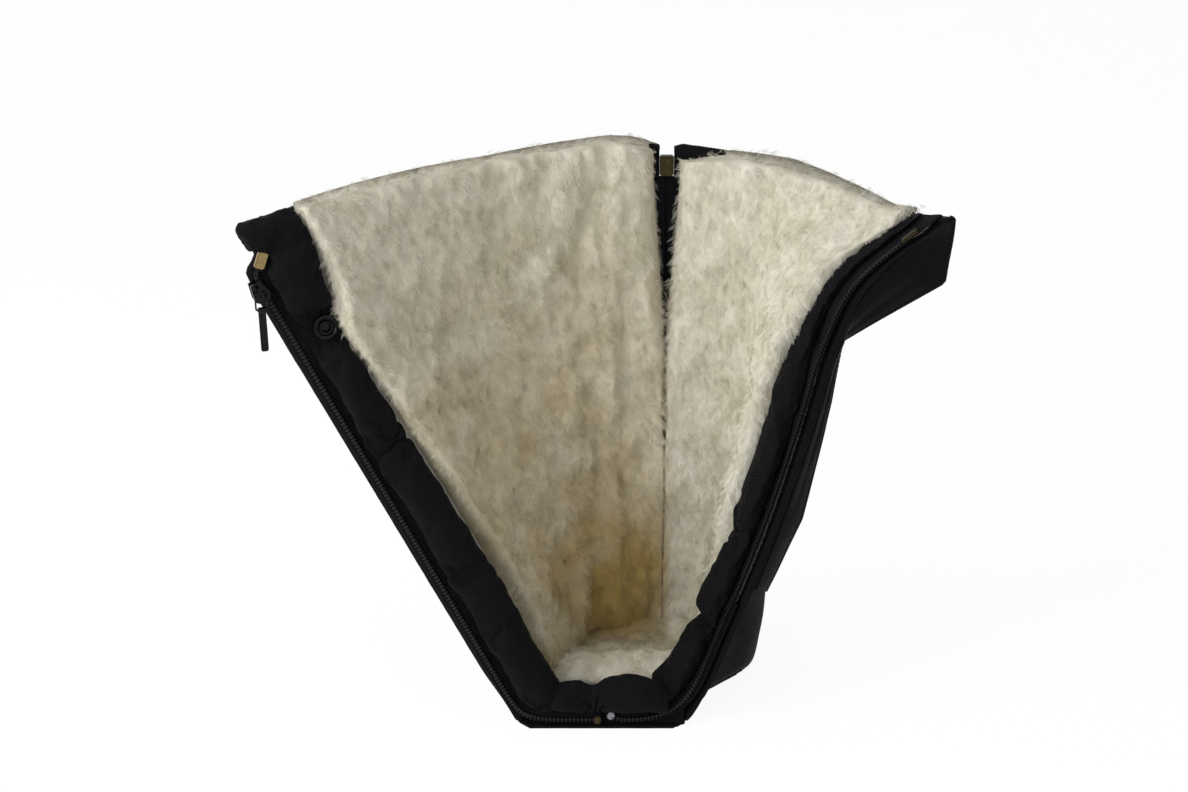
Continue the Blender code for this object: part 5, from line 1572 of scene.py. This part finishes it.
for side, wall in WALLS.items():
    piece = rear_strip(f"rear_{side}_ribbon", SEAM_X + wall.sign * np.linspace(0.0002, 0.0120, 8),
                       np.linspace(0.030, REAR_TOP, 100), 0.000075, TAPE, "zip_tape_cloth")
    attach(piece, f"{side}_half")
    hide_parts(f"rear_{side}_tape")
    # Below the tape and beside the box, the shell's own hem closes the slit
    hems = [rear_strip(f"{side}_hem_{first}", SEAM_X + wall.sign * np.linspace(first, 0.0120, 6),
                       np.linspace(low, high, 12), 0.0, BLACK_TWILL, "black_twill")
            for low, high, first in ((0.0030, 0.0297, 0.0002),
                                     (REAR_TOP + 0.0003, 0.3385, 0.0044))]
    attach(joined(f"{side}_seam_hem", *hems), f"{side}_half")
chain = []
for sign, shift in ((-1.0, 0.0), (1.0, 0.0011)):
    zs = np.arange(0.0590 + shift, REAR_TOP - 0.001, 0.002)
    line = [(SEAM_X + sign * 0.0009, REAR_Y + COIL_BASE + 0.0012, z) for z in zs]
    chain.append(row_of(f"rear_row_{shift}", TURN, line, [(0, 1, 0)] * len(line), 0.0022,
                        -sign, COIL))
rear_chain = joined("rear_coil_chain", *chain)
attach(rear_chain, "left_half")
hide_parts("rear_zip_coil")
tell(rear_chain)

# %% [markdown]
# The metal parts of the CAD model have the right shapes, so they stay as they are and only
# get their finishes. The toe's soft pieces, which cross the fold, ride on neither half.

# %% Finishes of the metal parts, and the pieces on neither half
METALS = {"retainer_box": BRASS, "insertion_pin": DARK_BRASS, "left_end_stop": DARK_BRASS,
          "right_end_stop": STEEL, "rear_retainer_box": DARK_BRASS, "rear_end_stop": DARK_BRASS,
          "snap_barrel": BLACK_ENAMEL, "snap_stud": BLACK_ENAMEL}
for end in ("front", "rear"):
    for part in ("slider", "pull_link", "pull_tab"):
        METALS[f"{end}_{part}"] = BLACK_ENAMEL
for node, finish in METALS.items():
    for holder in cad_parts[node].material_slots:
        holder.material = finish
for name in TOE_PIECES:
    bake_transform(bpy.data.objects[name])
for helper in (TURN, STITCH):
    bpy.data.objects.remove(helper)
print(len(METALS), "metal parts,", len(TOE_PIECES), "bending pieces")

# %% [markdown]
# The picture is a plain studio shot on white. The main soft lamp stands at the upper left,
# a weaker one in front fills the opening, and a faint one hangs above, all in an even world.
# Seen straight, the floor is mostly its own white, so its shadow stays faint, as it is in
# the picture.

# %% Floor, world and lamps
CAMERA_TARGET = Vector((-0.0036, -0.0040, 0.2048))


def straight_rays(tree):
    """1 for rays that show the white itself: from the camera, a gloss or a clear body."""
    rays = add_node(tree, "ShaderNodeLightPath").outputs
    seen = maths(tree, "MAXIMUM", rays["Is Camera Ray"], rays["Is Glossy Ray"])
    return maths(tree, "MAXIMUM", seen, rays["Is Transmission Ray"])


floor = mesh_object("studio_floor", [(-4, -4, 0), (4, -4, 0), (4, 4, 0), (-4, 4, 0)],
                    [(0, 1, 2, 3)], closed=False)
made = bpy.data.materials.new("white_paper_floor")
made.use_nodes = True
tree = made.node_tree
tree.nodes.clear()
paper = add_node(tree, "ShaderNodeBsdfDiffuse", {"Color": colour("#f4f4f4")})
glow = add_node(tree, "ShaderNodeEmission", {"Color": (1, 1, 1, 1), "Strength": 1.08})
both = add_node(tree, "ShaderNodeMixShader", {
    0: maths(tree, "MULTIPLY", straight_rays(tree), 0.85), 1: paper.outputs[0],
    2: glow.outputs[0]})
add_node(tree, "ShaderNodeOutputMaterial", {"Surface": both.outputs[0]})
floor.data.materials.append(made)

world = bpy.data.worlds.new("studio_world")
bpy.context.scene.world = world
world.use_nodes = True
tree = world.node_tree
tree.nodes.clear()
sky = add_node(tree, "ShaderNodeBackground", {"Color": (1, 1, 1, 1), "Strength": 0.40})
white = add_node(tree, "ShaderNodeBackground", {"Color": (1, 1, 1, 1), "Strength": 1.0})
both = add_node(tree, "ShaderNodeMixShader", {0: straight_rays(tree), 1: sky.outputs[0],
                                              2: white.outputs[0]})
add_node(tree, "ShaderNodeOutputWorld", {"Surface": both.outputs[0]})


def lamp(name, place, size, power):
    """Square soft lamp aimed at the object."""
    light = bpy.data.lights.new(name, "AREA")
    light.size, light.energy = size, power
    holder = bpy.data.objects.new(name, light)
    bpy.context.scene.collection.objects.link(holder)
    holder.location = place
    holder.rotation_euler = (CAMERA_TARGET - Vector(place)).to_track_quat(
        "-Z", "Y").to_euler()


lamp("key_softbox", (-1.25, -0.66, 0.86), 0.8, 12.2)
lamp("front_softbox", (-0.85, -1.55, 0.60), 0.8, 5.0)
lamp("top_softbox", (0.1, -0.5, 1.6), 0.8, 1.8)
print("studio ready")

# %% [markdown]
# The camera looks along +Y from 25 degrees above the floor, 1.7 m away, which is where the
# picture was taken from, judging by the toe, the rims and the seam.

# %% Camera
camera = bpy.data.objects.new("camera", bpy.data.cameras.new("camera"))
bpy.context.scene.collection.objects.link(camera)
bpy.context.scene.camera = camera
rise, away = math.radians(25.0), 1.7
camera.location = CAMERA_TARGET + away * Vector((0, -math.cos(rise), math.sin(rise)))
camera.rotation_euler = (math.pi / 2 - rise, 0, 0)
camera.data.sensor_width, camera.data.lens = 36.0, 86.03
bpy.context.scene.view_settings.view_transform = "Standard"
print("camera at", [round(v, 3) for v in camera.location])
